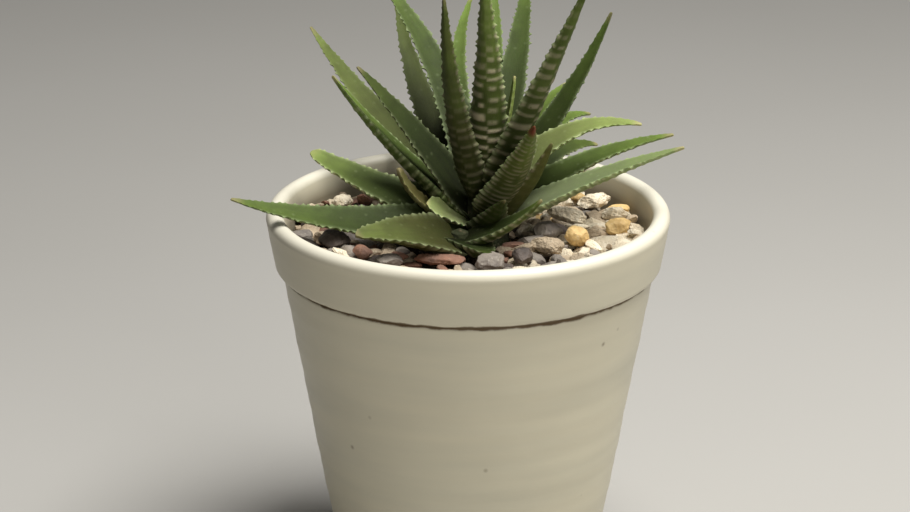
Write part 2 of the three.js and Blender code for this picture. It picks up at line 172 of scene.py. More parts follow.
class NodeSheet:
    """Writes shader nodes with few words, in a material or in a node group."""

    # The Mix node's sockets when it mixes colours.
    mix_share, mix_first, mix_second, mix_result = 0, 6, 7, 2

    def __init__(self, tree: bpy.types.NodeTree) -> None:
        """Starts on a node tree.

        Args:
            tree: The tree to write in.
        """
        self.tree = tree

    def feed(self, socket: bpy.types.NodeSocket, value: object) -> None:
        """Gives an input what it reads.

        Args:
            socket: The input.
            value: The output that feeds it, or a number, a vector or a colour to set.
        """
        if isinstance(value, bpy.types.NodeSocket):
            self.tree.links.new(value, socket)
        elif socket.type == "RGBA":
            socket.default_value = (*value, 1.0)
        else:
            socket.default_value = value

    def add(self, kind: str, inputs: dict | None = None, **settings: object) -> bpy.types.Node:
        """Adds a node.

        Args:
            kind: The node's type without the ShaderNode prefix.
            inputs: For each input's name or number, a value or the socket that feeds it.
            **settings: Properties of the node itself.

        Returns:
            The new node.
        """
        node = self.tree.nodes.new(f"ShaderNode{kind}")
        for name, value in settings.items():
            setattr(node, name, value)
        for name, value in (inputs or {}).items():
            self.feed(node.inputs[name], value)
        return node

    def math(self, operation: str, *values: object) -> bpy.types.NodeSocket:
        """Adds a Math node and returns its result."""
        return self.add("Math", dict(enumerate(values)), operation=operation).outputs[0]

    def mix(self, share: object, first: object, second: object, blend: str = "MIX") -> bpy.types.NodeSocket:
        """Mixes two colours.

        Args:
            share: How much of the second colour.
            first: The first colour or its socket.
            second: The second colour or its socket.
            blend: The mixing mode.

        Returns:
            The mixed colour's socket.
        """
        inputs = {self.mix_share: share, self.mix_first: first, self.mix_second: second}
        return self.add("Mix", inputs, data_type="RGBA", blend_type=blend).outputs[self.mix_result]

    def ramp(self, value: object, low: float, high: float) -> bpy.types.NodeSocket:
        """Rises smoothly from 0 at low to 1 at high and returns the result."""
        node = self.add("MapRange", {0: value, 1: low, 2: high}, interpolation_type="SMOOTHSTEP")
        return node.outputs[0]

    def stretched(self, place: bpy.types.NodeSocket, factors: Triple) -> bpy.types.NodeSocket:
        """Multiplies each axis of a place by its own factor and returns the result."""
        return self.add("VectorMath", {0: place, 1: factors}, operation="MULTIPLY").outputs[0]

    def mark(self, name: str) -> bpy.types.NodeOutputs:
        """Reads a named vector of the mesh, split into its three values."""
        vector = self.add("Attribute", attribute_name=name).outputs["Vector"]
        return self.add("SeparateXYZ", {0: vector}).outputs

    def place(self, group: bpy.types.NodeTree, **inputs: object) -> bpy.types.NodeOutputs:
        """Places a node group.

        Args:
            group: The group.
            **inputs: A value or socket for each of its inputs.

        Returns:
            The outputs of the group's node.
        """
        return self.add("Group", inputs, node_tree=group).outputs

    def dress(
        self,
        shader: bpy.types.Node,
        tone: bpy.types.NodeSocket,
        roughness: bpy.types.NodeSocket,
        relief: bpy.types.NodeSocket,
        strength: float,
        depth: float,
    ) -> None:
        """Feeds a shader its colour, its roughness and a fine relief.

        Args:
            shader: The Principled BSDF.
            tone: The colour.
            roughness: The roughness.
            relief: The relief's height, from 0 to about 1.
            strength: How strongly the relief shows, from 0 to 1.
            depth: How deep it is, in metres.
        """
        bump = self.add("Bump", {"Height": relief, "Strength": strength, "Distance": depth})
        self.feed(shader.inputs["Base Color"], tone)
        self.feed(shader.inputs["Roughness"], roughness)
        self.feed(shader.inputs["Normal"], bump.outputs[0])


class EffectGroup:
    """A shader node group with named sockets, made once and used by several finishes."""

    def __init__(self, name: str, inputs: dict[str, str], outputs: dict[str, str]) -> None:
        """Makes the empty group.

        Args:
            name: The group's name.
            inputs: The type of each input's value: Float, Vector or Color.
            outputs: The same for each output.
        """
        self.tree = bpy.data.node_groups.new(name, "ShaderNodeTree")
        for way, sockets in (("INPUT", inputs), ("OUTPUT", outputs)):
            for socket, kind in sockets.items():
                self.tree.interface.new_socket(socket, in_out=way, socket_type=f"NodeSocket{kind}")
        self.sheet = NodeSheet(self.tree)
        self.inputs = self.tree.nodes.new("NodeGroupInput").outputs
        self.result = self.tree.nodes.new("NodeGroupOutput")

    def give(self, name: str, socket: bpy.types.NodeSocket) -> None:
        """Feeds one of the group's outputs."""
        self.tree.links.new(socket, self.result.inputs[name])


class Effects:
    """The effects that several finishes share."""

    middle = 0.5  # of the noise that clouds are made from
    grain_fineness = 6.0  # how many times finer the grain is than the clouds

    def __init__(self) -> None:
        """Builds each group once."""
        self.mottle = self.build_mottle()
        self.flecks = self.build_flecks()

    def build_mottle(self) -> bpy.types.NodeTree:
        """Soft cloudy variation between 0 and 1, and a finer grain.

        Returns:
            The node group.
        """
        group = EffectGroup(
            "Mottle",
            {"Place": "Vector", "Scale": "Float", "Contrast": "Float"},
            {"Mask": "Float", "Grain": "Float"},
        )
        sheet, given = group.sheet, group.inputs
        cloud = sheet.add("TexNoise", {"Vector": given["Place"], "Scale": given["Scale"], "Detail": 3.0})
        fine_scale = sheet.math("MULTIPLY", given["Scale"], self.grain_fineness)
        grain = sheet.add("TexNoise", {"Vector": given["Place"], "Scale": fine_scale, "Detail": 4.0})
        centred = sheet.math("SUBTRACT", cloud.outputs[0], self.middle)
        spread = sheet.math("MULTIPLY_ADD", centred, given["Contrast"], self.middle)
        mask = sheet.add("Clamp", {0: spread})
        group.give("Mask", mask.outputs[0])
        group.give("Grain", grain.outputs[0])
        return group.tree

    @staticmethod
    def build_flecks() -> bpy.types.NodeTree:
        """Small separate dots, of which only a share is kept.

        Returns:
            The node group.
        """
        group = EffectGroup(
            "Flecks",
            {"Place": "Vector", "Scale": "Float", "Size": "Float", "Share": "Float"},
            {"Mask": "Float"},
        )
        sheet, given = group.sheet, group.inputs
        cells = sheet.add("TexVoronoi", {"Vector": given["Place"], "Scale": given["Scale"]})
        near = sheet.math("SUBTRACT", given["Size"], cells.outputs["Distance"])
        dot = sheet.math("DIVIDE", near, given["Size"])
        picked = sheet.add("SeparateColor", {0: cells.outputs["Color"]})
        kept = sheet.math("LESS_THAN", picked.outputs[0], given["Share"])
        dots = sheet.add("Clamp", {0: sheet.math("MULTIPLY", dot, kept)})
        group.give("Mask", dots.outputs[0])
        return group.tree


def new_material(name: str) -> tuple[bpy.types.Material, NodeSheet, bpy.types.Node]:
    """Makes a material that holds only the Principled BSDF and the output.

    Args:
        name: The material's name.

    Returns:
        The material, its node sheet and the shader node.
    """
    material = bpy.data.materials.new(name)
    material.use_nodes = True
    shader = material.node_tree.nodes["Principled BSDF"]
    return material, NodeSheet(material.node_tree), shader


# ---- finishes ----------------------------------------------------------------------------------


@dataclass(frozen=True)
class LeafSkin:
    """The skin of a leaf: its face, its banded back, its margins and its tip.

    The patterns are laid out in millimetres along and across the leaf, and each span is the stretch
    of the leaf's length, from 0 at the seat to 1 at the tip, over which one tone gives way to the next.
    On the living skins the face darkens towards the seat: partly the leaf's own deeper green there,
    partly painted shade where the leaves crowd round the stem.
    """

    name: str
    # On the living skins the root colour is darker: partly the seat's own deeper green, partly painted shade
    # where the leaves crowd round the stem.
    root: Colour
    middle: Colour
    tip: Colour
    back: Colour
    band: Colour
    margin: Colour
    roughness: float = 0.58

    waxy: ClassVar[Colour] = srgb(158, 166, 132)
    russet: ClassVar[Colour] = srgb(100, 48, 34)
    straw: ClassVar[Colour] = srgb(176, 160, 122)
    root_shade_span: ClassVar[Pair] = (0.03, 0.66)
    tip_span: ClassVar[Pair] = (0.5, 1.0)
    back_span: ClassVar[Pair] = (0.25, 0.8)
    cloud_scale: ClassVar[float] = 0.22
    clouds: ClassVar[float] = 0.4
    streak_stretch: ClassVar[Triple] = (0.14, 1.3, 1.0)
    streak_scale: ClassVar[float] = 0.7
    streaks: ClassVar[float] = 0.22
    speck_scale: ClassVar[float] = 0.62
    face_specks: ClassVar[float] = 0.15
    back_specks: ClassVar[float] = 0.05
    band_wear: ClassVar[Pair] = (0.2, 0.44)
    margins: ClassVar[float] = 0.9
    gloss_draw: ClassVar[Pair] = (-0.1, 0.22)
    band_roughness: ClassVar[float] = 0.25
    streak_relief: ClassVar[float] = 0.8
    cell_relief: ClassVar[float] = 0.6

    def build(self, effects: Effects) -> bpy.types.Material:
        """Builds the skin from the marks that a leaf's mesh carries.

        Args:
            effects: The shared effects.

        Returns:
            The material.
        """
        material, sheet, shader = new_material(self.name)
        share, bloom, _ = sheet.mark("leaf_share")
        band, margin, on_back = sheet.mark("leaf_marks")
        dryness, blush, brightness = sheet.mark("leaf_wear_and_shading")
        place = sheet.add("Attribute", attribute_name="leaf_place").outputs["Vector"]
        mottle = sheet.place(effects.mottle, Place=place, Scale=self.cloud_scale, Contrast=2.4)
        drawn = sheet.stretched(place, self.streak_stretch)
        streaks = sheet.place(effects.mottle, Place=drawn, Scale=self.streak_scale, Contrast=3.0)
        specks = sheet.place(effects.flecks, Place=place, Scale=self.speck_scale, Size=0.36, Share=0.22)

        # Painted shade: the face darkens from the middle colour to the root colour towards the seat.
        low = sheet.mix(sheet.ramp(share, *self.root_shade_span), self.root, self.middle)
        face = sheet.mix(sheet.ramp(share, *self.tip_span), low, self.tip)
        under = sheet.mix(sheet.ramp(share, *self.back_span), self.back, self.tip)
        tone = sheet.mix(on_back, face, under)
        tone = sheet.mix(sheet.math("MULTIPLY", mottle["Mask"], self.clouds), tone, self.root)
        tone = sheet.mix(sheet.math("MULTIPLY", streaks["Mask"], self.streaks), tone, self.back)
        speck_strength = sheet.math(
            "MULTIPLY_ADD", on_back, self.back_specks - self.face_specks, self.face_specks
        )
        pale = sheet.math("MULTIPLY", specks["Mask"], speck_strength)
        tone = sheet.mix(bloom, tone, self.waxy)
        tone = sheet.mix(pale, tone, self.margin)
        worn_band = sheet.math("MULTIPLY", band, sheet.ramp(mottle["Grain"], *self.band_wear))
        tone = sheet.mix(worn_band, tone, self.band)
        tone = sheet.mix(sheet.math("MULTIPLY", margin, self.margins), tone, self.margin)
        tone = sheet.mix(blush, tone, self.russet)
        tone = sheet.mix(dryness, tone, self.straw)
        # Painted light and shade: the whole skin is scaled by the leaf's tone, brighter for leaves that
        # others shade and darker for leaves that lie in shade.
        toned = sheet.add("VectorMath", {0: tone, "Scale": brightness}, operation="SCALE").outputs[0]

        glossier, spread = self.gloss_draw
        gloss = sheet.math("MULTIPLY_ADD", mottle["Grain"], spread, self.roughness + glossier)
        matt = sheet.math("MULTIPLY_ADD", worn_band, self.band_roughness, gloss)
        cells = sheet.math("MULTIPLY", mottle["Grain"], self.cell_relief)
        relief = sheet.math("MULTIPLY_ADD", streaks["Grain"], self.streak_relief, cells)
        sheet.dress(shader, toned, matt, relief, strength=0.4, depth=0.00014)
        shader.inputs["Specular IOR Level"].default_value = 0.12
        shader.inputs["Subsurface Weight"].default_value = 0.08
        shader.inputs["Subsurface Radius"].default_value = (0.5, 1.0, 0.25)
        shader.inputs["Subsurface Scale"].default_value = 0.0012
        return material


class Skin(Enum):
    """The four skins that the leaves have."""

    GREEN = LeafSkin(
        "leaf_green",
        root=srgb(36, 41, 20), middle=srgb(77, 93, 42), tip=srgb(110, 132, 60),
        back=srgb(60, 73, 33), band=srgb(150, 154, 118), margin=srgb(176, 192, 142),
    )
    PALE = LeafSkin(
        "leaf_pale",
        root=srgb(64, 69, 36), middle=srgb(103, 113, 60), tip=srgb(134, 151, 78),
        back=srgb(78, 84, 42), band=srgb(158, 160, 122), margin=srgb(186, 198, 148),
    )
    # Partly painted shade: besides the darker leaves, leaves that lie under others, such as
    # leaf_right_tucked, take this darker skin.
    DARK = LeafSkin(
        "leaf_dark",
        root=srgb(26, 29, 14), middle=srgb(58, 70, 34), tip=srgb(94, 110, 50),
        back=srgb(62, 72, 32), band=srgb(162, 154, 128), margin=srgb(164, 174, 130),
    )
    DRY = LeafSkin(
        "leaf_dry",
        root=srgb(128, 130, 82), middle=srgb(104, 96, 56), tip=srgb(84, 78, 46),
        back=srgb(116, 114, 70), band=srgb(132, 124, 92), margin=srgb(150, 142, 102),
        roughness=0.75,
    )


@dataclass(frozen=True)
class Glaze:
    """The pot's warm off-white glaze: paler over the lip, partly glaze and partly painted light; darker in
    the groove; discoloured inside, with painted shade.
    """

    body: Colour = srgb(208, 201, 177)
    cool: Colour = srgb(196, 191, 170)
    # The lip's paler glaze, which also stands in for painted light on the lip's top.
    worn_and_lit: Colour = srgb(232, 228, 214)
    # The dark of the groove and of the specks.
    groove_and_fleck_dark: Colour = srgb(92, 74, 48)
    # A discolouring tone, used lightly outside; inside it also stands in for painted shade.
    stain_and_shade: Colour = srgb(100, 90, 70)
    ring_flattening: Triple = (1.0, 1.0, 9.0)
    ring_scale: float = 16.0
    cloud_scale: float = 34.0
    speck_scale: float = 260.0
    groove_dark_edge: Pair = (0.92, 1.34)
    raggedness: float = 1.2
    specks: float = 0.8
    outside_stain: float = 0.12
    inside_stain_and_shade: Pair = (0.65, 0.4)
    gloss_draw: Pair = (0.38, 0.16)
    groove_dark_roughness: float = 0.35
    inside_roughness: float = 0.25
    ring_relief: float = 0.5
    cloud_relief: float = 0.5

    def build(self, effects: Effects) -> bpy.types.Material:
        """Builds the glaze from the marks that the pot's mesh carries.

        Args:
            effects: The shared effects.

        Returns:
            The material.
        """
        material, sheet, shader = new_material("glaze")
        spot = sheet.add("TexCoord").outputs["Object"]
        flat = sheet.stretched(spot, self.ring_flattening)
        rings = sheet.place(effects.mottle, Place=flat, Scale=self.ring_scale, Contrast=2.2)
        clouds = sheet.place(effects.mottle, Place=spot, Scale=self.cloud_scale, Contrast=1.6)
        specks = sheet.place(effects.flecks, Place=spot, Scale=self.speck_scale, Size=0.2, Share=0.035)
        groove_dark, inside, pale = sheet.mark("pot_marks")

        tone = sheet.mix(rings["Mask"], self.body, self.cool)
        tone = sheet.mix(sheet.math("MULTIPLY", clouds["Mask"], self.outside_stain), tone, self.stain_and_shade)
        # Painted shade: the inside is darkened, partly discolouring and partly the shade under the rim.
        even, cloudy = self.inside_stain_and_shade
        stained_and_shaded = sheet.math("MULTIPLY", inside, sheet.math("MULTIPLY_ADD", clouds["Mask"], cloudy, even))
        tone = sheet.mix(stained_and_shaded, tone, self.stain_and_shade)
        # Painted light: the lip is paler, partly glaze that breaks over it and partly the light on its top.
        tone = sheet.mix(pale, tone, self.worn_and_lit)
        # The groove darkens, with ragged edges.
        uneven = sheet.math("MULTIPLY_ADD", clouds["Grain"], self.raggedness, groove_dark)
        ragged = sheet.ramp(uneven, *self.groove_dark_edge)
        tone = sheet.mix(ragged, tone, self.groove_and_fleck_dark)
        tone = sheet.mix(sheet.math("MULTIPLY", specks["Mask"], self.specks), tone, self.groove_and_fleck_dark)

        least, spread = self.gloss_draw
        gloss = sheet.math("MULTIPLY_ADD", rings["Grain"], spread, least)
        matt = sheet.math("MULTIPLY_ADD", inside, self.inside_roughness, gloss)
        matt = sheet.math("MULTIPLY_ADD", ragged, self.groove_dark_roughness, matt)
        lumps = sheet.math("MULTIPLY", clouds["Grain"], self.cloud_relief)
        relief = sheet.math("MULTIPLY_ADD", rings["Grain"], self.ring_relief, lumps)
        sheet.dress(shader, tone, matt, relief, strength=0.25, depth=0.0002)
        shader.inputs["Coat Weight"].default_value = 0.06
        shader.inputs["Coat Roughness"].default_value = 0.25
        return material


@dataclass(frozen=True)
class StoneFinish:
    """One kind of stone: its colours, and how its stones are broken.

    Attributes:
        name: Its material.
        tone: Its main tone.
        drift: The tone that this one drifts into.
        fleck: The tone of its flecks.
        roughness: How matt it is.
        cuts: How many flats a stone has.
        flatness: The least and greatest height of a stone over its width.
        stretch: The least and greatest length of a stone over its width.
        dents: How deep its dents are.
    """

    name: str
    tone: Colour
    drift: Colour
    fleck: Colour
    roughness: float = 0.75
    cuts: int = 10
    flatness: Pair = (0.6, 0.85)
    stretch: Pair = (1.0, 1.45)
    dents: float = 0.1

    vein_scale: ClassVar[float] = 260.0
    fleck_scale: ClassVar[float] = 1300.0
    flecks: ClassVar[float] = 0.45
    brightness: ClassVar[Pair] = (0.75, 0.5)
    gloss_draw: ClassVar[Pair] = (-0.1, 0.2)
    vein_relief: ClassVar[float] = 0.8
    fleck_relief: ClassVar[float] = 0.3
    relief_depth: ClassVar[float] = 0.003

    def build(self, effects: Effects) -> bpy.types.Material:
        """Builds the stone.

        Args:
            effects: The shared effects.

        Returns:
            The material.
        """
        material, sheet, shader = new_material(self.name)
        spot = sheet.add("TexCoord").outputs["Object"]
        shift, lightness, _ = sheet.mark("stone_seed")
        moved = sheet.add("VectorMath", {0: spot, 1: shift}, operation="ADD").outputs[0]
        veins = sheet.place(effects.mottle, Place=moved, Scale=self.vein_scale, Contrast=3.0)
        flecks = sheet.place(effects.flecks, Place=moved, Scale=self.fleck_scale, Size=0.5, Share=0.25)
        tone = sheet.mix(veins["Mask"], self.tone, self.drift)
        darkest, spread = self.brightness
        level = sheet.math("MULTIPLY_ADD", lightness, spread, darkest)
        shade = sheet.add("CombineColor", {0: level, 1: level, 2: level}).outputs[0]
        tone = sheet.mix(1.0, tone, shade, "MULTIPLY")
        tone = sheet.mix(sheet.math("MULTIPLY", flecks["Mask"], self.flecks), tone, self.fleck)
        raised = sheet.math("MULTIPLY", flecks["Mask"], self.fleck_relief)
        relief = sheet.math("MULTIPLY_ADD", veins["Grain"], self.vein_relief, raised)
        glossier, spread = self.gloss_draw
        matt = sheet.math("MULTIPLY_ADD", veins["Grain"], spread, self.roughness + glossier)
        sheet.dress(shader, tone, matt, relief, strength=0.9, depth=self.relief_depth * self.dents)
        return material


class Stone(Enum):
    """The kinds of stone in the dressing."""

    CREAM = StoneFinish(
        "stone_cream", srgb(232, 221, 198), srgb(198, 182, 154), srgb(246, 240, 226),
        roughness=0.85, cuts=12, flatness=(0.5, 0.85), stretch=(1.1, 1.9), dents=0.24,
    )
    TAN = StoneFinish(
        "stone_tan", srgb(192, 174, 148), srgb(150, 133, 110), srgb(220, 207, 182),
        roughness=0.8, cuts=11, flatness=(0.5, 0.85), stretch=(1.1, 1.8), dents=0.2,
    )
    GREY = StoneFinish("stone_grey", srgb(146, 137, 126), srgb(112, 104, 98), srgb(184, 177, 164), cuts=8)
    DARK = StoneFinish(
        "stone_dark", srgb(102, 91, 84), srgb(72, 63, 58), srgb(132, 120, 109), roughness=0.7, cuts=7
    )
    RUST = StoneFinish(
        "stone_rust", srgb(142, 102, 82), srgb(112, 84, 70), srgb(168, 136, 114),
        roughness=0.72, cuts=8, flatness=(0.3, 0.45), stretch=(1.3, 1.8),
    )
    OCHRE = StoneFinish(
        "stone_ochre", srgb(232, 200, 140), srgb(192, 158, 100), srgb(244, 226, 186), roughness=0.6, cuts=6
    )


@dataclass(frozen=True)
class Grit:
    """Fine grit, moist soil or fibrous stem: dark clods or fibres with small pale crumbs."""

    name: str
    tone: Colour
    drift: Colour
    scale: float
    crumb: Colour = srgb(150, 132, 106)
    crumb_fineness: float = 4.0
    crumbs: float = 0.4
    crumb_relief: float = 0.7
    gloss_draw: Pair = (0.85, 0.1)

    def build(self, effects: Effects) -> bpy.types.Material:
        """Builds the finish.

        Args:
            effects: The shared effects.

        Returns:
            The material.
        """
        material, sheet, shader = new_material(self.name)
        spot = sheet.add("TexCoord").outputs["Object"]
        clods = sheet.place(effects.mottle, Place=spot, Scale=self.scale, Contrast=3.0)
        fine = self.crumb_fineness * self.scale
        crumbs = sheet.place(effects.flecks, Place=spot, Scale=fine, Size=0.6, Share=0.3)
        tone = sheet.mix(clods["Mask"], self.tone, self.drift)
        tone = sheet.mix(sheet.math("MULTIPLY", crumbs["Mask"], self.crumbs), tone, self.crumb)
        relief = sheet.math("MULTIPLY_ADD", crumbs["Mask"], self.crumb_relief, clods["Grain"])
        least, spread = self.gloss_draw
        matt = sheet.math("MULTIPLY_ADD", clods["Grain"], spread, least)
        sheet.dress(shader, tone, matt, relief, strength=0.9, depth=0.0006)
        return material


# ---- the pot -----------------------------------------------------------------------------------


@dataclass
class Pot:
    """The thrown pot: rounded lip, collar, shallow groove and tapering wall.

    Attributes:
        height: From the surface that it stands on to the top of the lip.
        rim_radius: The greatest radius, at the lip.
        lip_thickness: How thick the round lip is.
        collar_height: From the collar's lower edge to the top.
        collar_step: How far the collar stands out from the wall below.
        taper: The radius gained per millimetre of height.
        body_wall: How thick the wall is.
        floor: The height of the floor inside.
        floor_corner: The slope between the wall and the floor inside.
        foot_radius: The rounding of the bottom edge.
        foot_margin: How far inside the rounding the flat base has a ring.
        base_ring: The radius of the ring in the middle of the base.
        groove_below: The groove's lower points: how far in from the wall, and up from the collar's edge.
        groove_above: The same for its upper points, in from the collar.
        wall_end: How far below the collar's edge the wall starts to turn in.
        collar_start: How far above it the collar has its full radius.
        throwing_depth: How deep the throwing rings are.
        throwing_waves: The length, phase and strength of the waves that they are made from.
        soft_throwing: The share of their depth on the collar and inside.
        wander: How the pot is out of true: how far, with how many lobes, and how slowly they turn.
        groove_dark_reach: How far the darkening spreads from the groove.
        pale_strength: How pale the lip is, partly its glaze and partly painted light on its top.
        pale_rings: How many rings from the top of the lip the paleness reaches.
        inside_stain_and_shade_depth: How far below the top the discolouring and painted shade inside start.
        sides: How many points a ring has.
        wall_steps: How many rings the wall has.
        collar_steps: The same for the collar.
        inner_steps: The same for the inside.
    """

    height: float = 95.0
    rim_radius: float = 47.5
    lip_thickness: float = 4.2
    collar_height: float = 14.2
    collar_step: float = 1.0
    taper: float = 0.179
    body_wall: float = 3.3
    floor: float = 6.0
    floor_corner: float = 2.0
    foot_radius: float = 1.6
    foot_margin: float = 0.6
    base_ring: float = 14.0
    groove_below: tuple[Pair, ...] = ((0.22, -0.75), (0.5, -0.3), (0.45, 0.1))
    groove_above: tuple[Pair, ...] = ((0.55, 0.32), (0.12, 0.7))
    wall_end: float = 1.3
    collar_start: float = 1.2
    throwing_depth: float = 0.11
    throwing_waves: tuple[Triple, ...] = ((1.9, 0.0, 1.0), (0.83, 1.0, 0.6), (4.7, 0.4, 0.7))
    soft_throwing: float = 0.5
    wander: tuple[Triple, ...] = ((0.06, 2.0, 21.0), (0.03, 5.0, 9.0))
    groove_dark_reach: float = 0.9
    pale_strength: float = 0.62
    pale_rings: int = 6
    inside_stain_and_shade_depth: float = 2.2
    sides: int = 168
    wall_steps: int = 96
    collar_steps: int = 18
    inner_steps: int = 24

    @property
    def groove_height(self) -> float:
        """Where the collar ends."""
        return self.height - self.collar_height

    def body_radius(self, z: float) -> float:
        """The outside radius below the collar at a height."""
        return self.rim_radius - self.collar_step - (self.height - z) * self.taper

    def collar_radius(self, z: float) -> float:
        """The collar's outside radius at a height."""
        return self.rim_radius - (self.height - self.lip_thickness / 2 - z) * self.taper

    def inner_radius(self, z: float) -> float:
        """The inside radius at a height."""
        return self.body_radius(z) - self.body_wall

    def throwing_ring(self, z: float) -> float:
        """The faint ridge that the potter's fingers left at a height."""
        waves = (strength * math.sin(z / length + phase) for length, phase, strength in self.throwing_waves)
        return self.throwing_depth * sum(waves) / 2

    @staticmethod
    def arc(middle: Pair, radius: float, angles: range) -> list[Pair]:
        """Walks a round edge of the section.

        Args:
            middle: Radius and height of the arc's middle.
            radius: The arc's own radius.
            angles: The angle of each point in degrees, 0 pointing outwards and 90 up.

        Returns:
            Radius and height of each point.
        """
        out, up = middle
        turns = [math.radians(angle) for angle in angles]
        return [(out + radius * math.cos(turn), up + radius * math.sin(turn)) for turn in turns]

    def outline(self) -> list[Pair]:
        """Walks the section from the middle of the base, up the outside and down the inside.

        Returns:
            Radius and height of each point.
        """
        groove, lip, foot = self.groove_height, self.lip_thickness / 2, self.foot_radius
        foot_middle = self.body_radius(0) - foot
        points = [(0.0, 0.0), (self.base_ring, 0.0), (foot_middle - self.foot_margin, 0.0)]
        points += self.arc((foot_middle, foot), foot, range(-90, 1, 15))
        for step in range(1, self.wall_steps + 1):
            z = foot + (groove - self.wall_end - foot) * step / self.wall_steps
            points.append((self.body_radius(z) + self.throwing_ring(z), z))
        points += [(self.body_radius(groove) - inward, groove + up) for inward, up in self.groove_below]
        points += [(self.collar_radius(groove) - inward, groove + up) for inward, up in self.groove_above]
        collar_start = groove + self.collar_start
        points.append((self.collar_radius(collar_start), collar_start))
        top = self.height - lip
        for step in range(1, self.collar_steps):
            z = collar_start + (top - groove - self.collar_start) * step / self.collar_steps
            points.append((self.collar_radius(z) + self.soft_throwing * self.throwing_ring(z), z))
        points += self.arc((self.rim_radius - lip, top), lip, range(0, 181, 12))
        for step in range(1, self.inner_steps + 1):
            z = top - (top - self.floor - self.floor_corner) * step / self.inner_steps
            radius = min(self.inner_radius(z), self.rim_radius - 2 * lip)
            points.append((radius + self.soft_throwing * self.throwing_ring(z), z))
        points += [(self.inner_radius(self.floor) - self.floor_corner, self.floor), (0.0, self.floor)]
        return points

    def rings(self) -> tuple[list[Rows], list[Rows]]:
        """Turns each point of the section into a ring, slightly out of true as a thrown pot is.

        Returns:
            The rings, and for each one its marks: the groove's darkening, the inside's painted shade and
                discolouring, and the lip's paleness, partly painted light.
        """
        outline = self.outline()
        turns = np.linspace(0, 2 * math.pi, self.sides, endpoint=False)
        lip_place = max(range(len(outline)), key=lambda i: outline[i][1])
        rows, marks = [], []
        for i, (radius, z) in enumerate(outline[1:-1], start=1):
            reach = radius + sum(far * np.sin(lobes * turns + z / slow) for far, lobes, slow in self.wander)
            height = np.full_like(turns, z)
            rows.append(np.stack([reach * np.cos(turns), reach * np.sin(turns), height], axis=1))
            outside = i < lip_place
            # The groove darkens; the inside below the top is discoloured and given painted shade; the lip is
            # paler, partly painted light on its top.
            groove_dark = math.exp(-(((z - self.groove_height) / self.groove_dark_reach) ** 2)) if outside else 0.0
            inside = 1.0 if i > lip_place and z < self.height - self.inside_stain_and_shade_depth else 0.0
            pale = self.pale_strength * math.exp(-(((i - lip_place) / self.pale_rings) ** 4))
            marks.append(np.tile((groove_dark, inside, pale), (self.sides, 1)))
        return rows, marks

    def build(self, effects: Effects) -> bpy.types.Object:
        """Joins the rings and closes the base and the floor.

        Args:
            effects: The shared effects.

        Returns:
            The pot.
        """
        rows, marks = self.rings()
        count = len(rows) * self.sides
        vertices = np.vstack([*rows, [(0, 0, 0)], [(0, 0, self.floor)]])
        ring = np.arange(self.sides)
        following = (ring + 1) % self.sides
        faces = []
        for i in range(len(rows) - 1):
            a, b = i * self.sides, (i + 1) * self.sides
            faces += np.stack([a + ring, a + following, b + following, b + ring], axis=1).tolist()
        faces += [(count, following[i], ring[i]) for i in ring]
        last = count - self.sides
        faces += [(count + 1, last + ring[i], last + following[i]) for i in ring]
        base_mark, floor_mark = (0, 0, 0), (0, 1, 0)
        marks.append([base_mark, floor_mark])
        glaze = Glaze().build(effects)
        piece = make_piece("glazed_pot", vertices, faces, glaze, {"pot_marks": np.vstack(marks)})
        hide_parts("pot")
        return piece


# ---- the leaves --------------------------------------------------------------------------------


@dataclass(frozen=True)
class Plant:
    """A stem that leaves sit on."""

    x: float
    y: float
    base_height: float
    top: float
    base_radius: float
    tip_radius: float

    def radius(self, z: float) -> float:
        """The stem's radius at a height."""
        share = (z - self.base_height) / (self.top - self.base_height)
        return self.base_radius + (self.tip_radius - self.base_radius) * share


MAIN = Plant(x=3.5, y=0.0, base_height=86.0, top=103.0, base_radius=6.4, tip_radius=2.2)
OFFSET = Plant(x=-2.0, y=-10.0, base_height=86.0, top=92.0, base_radius=3.0, tip_radius=2.0)


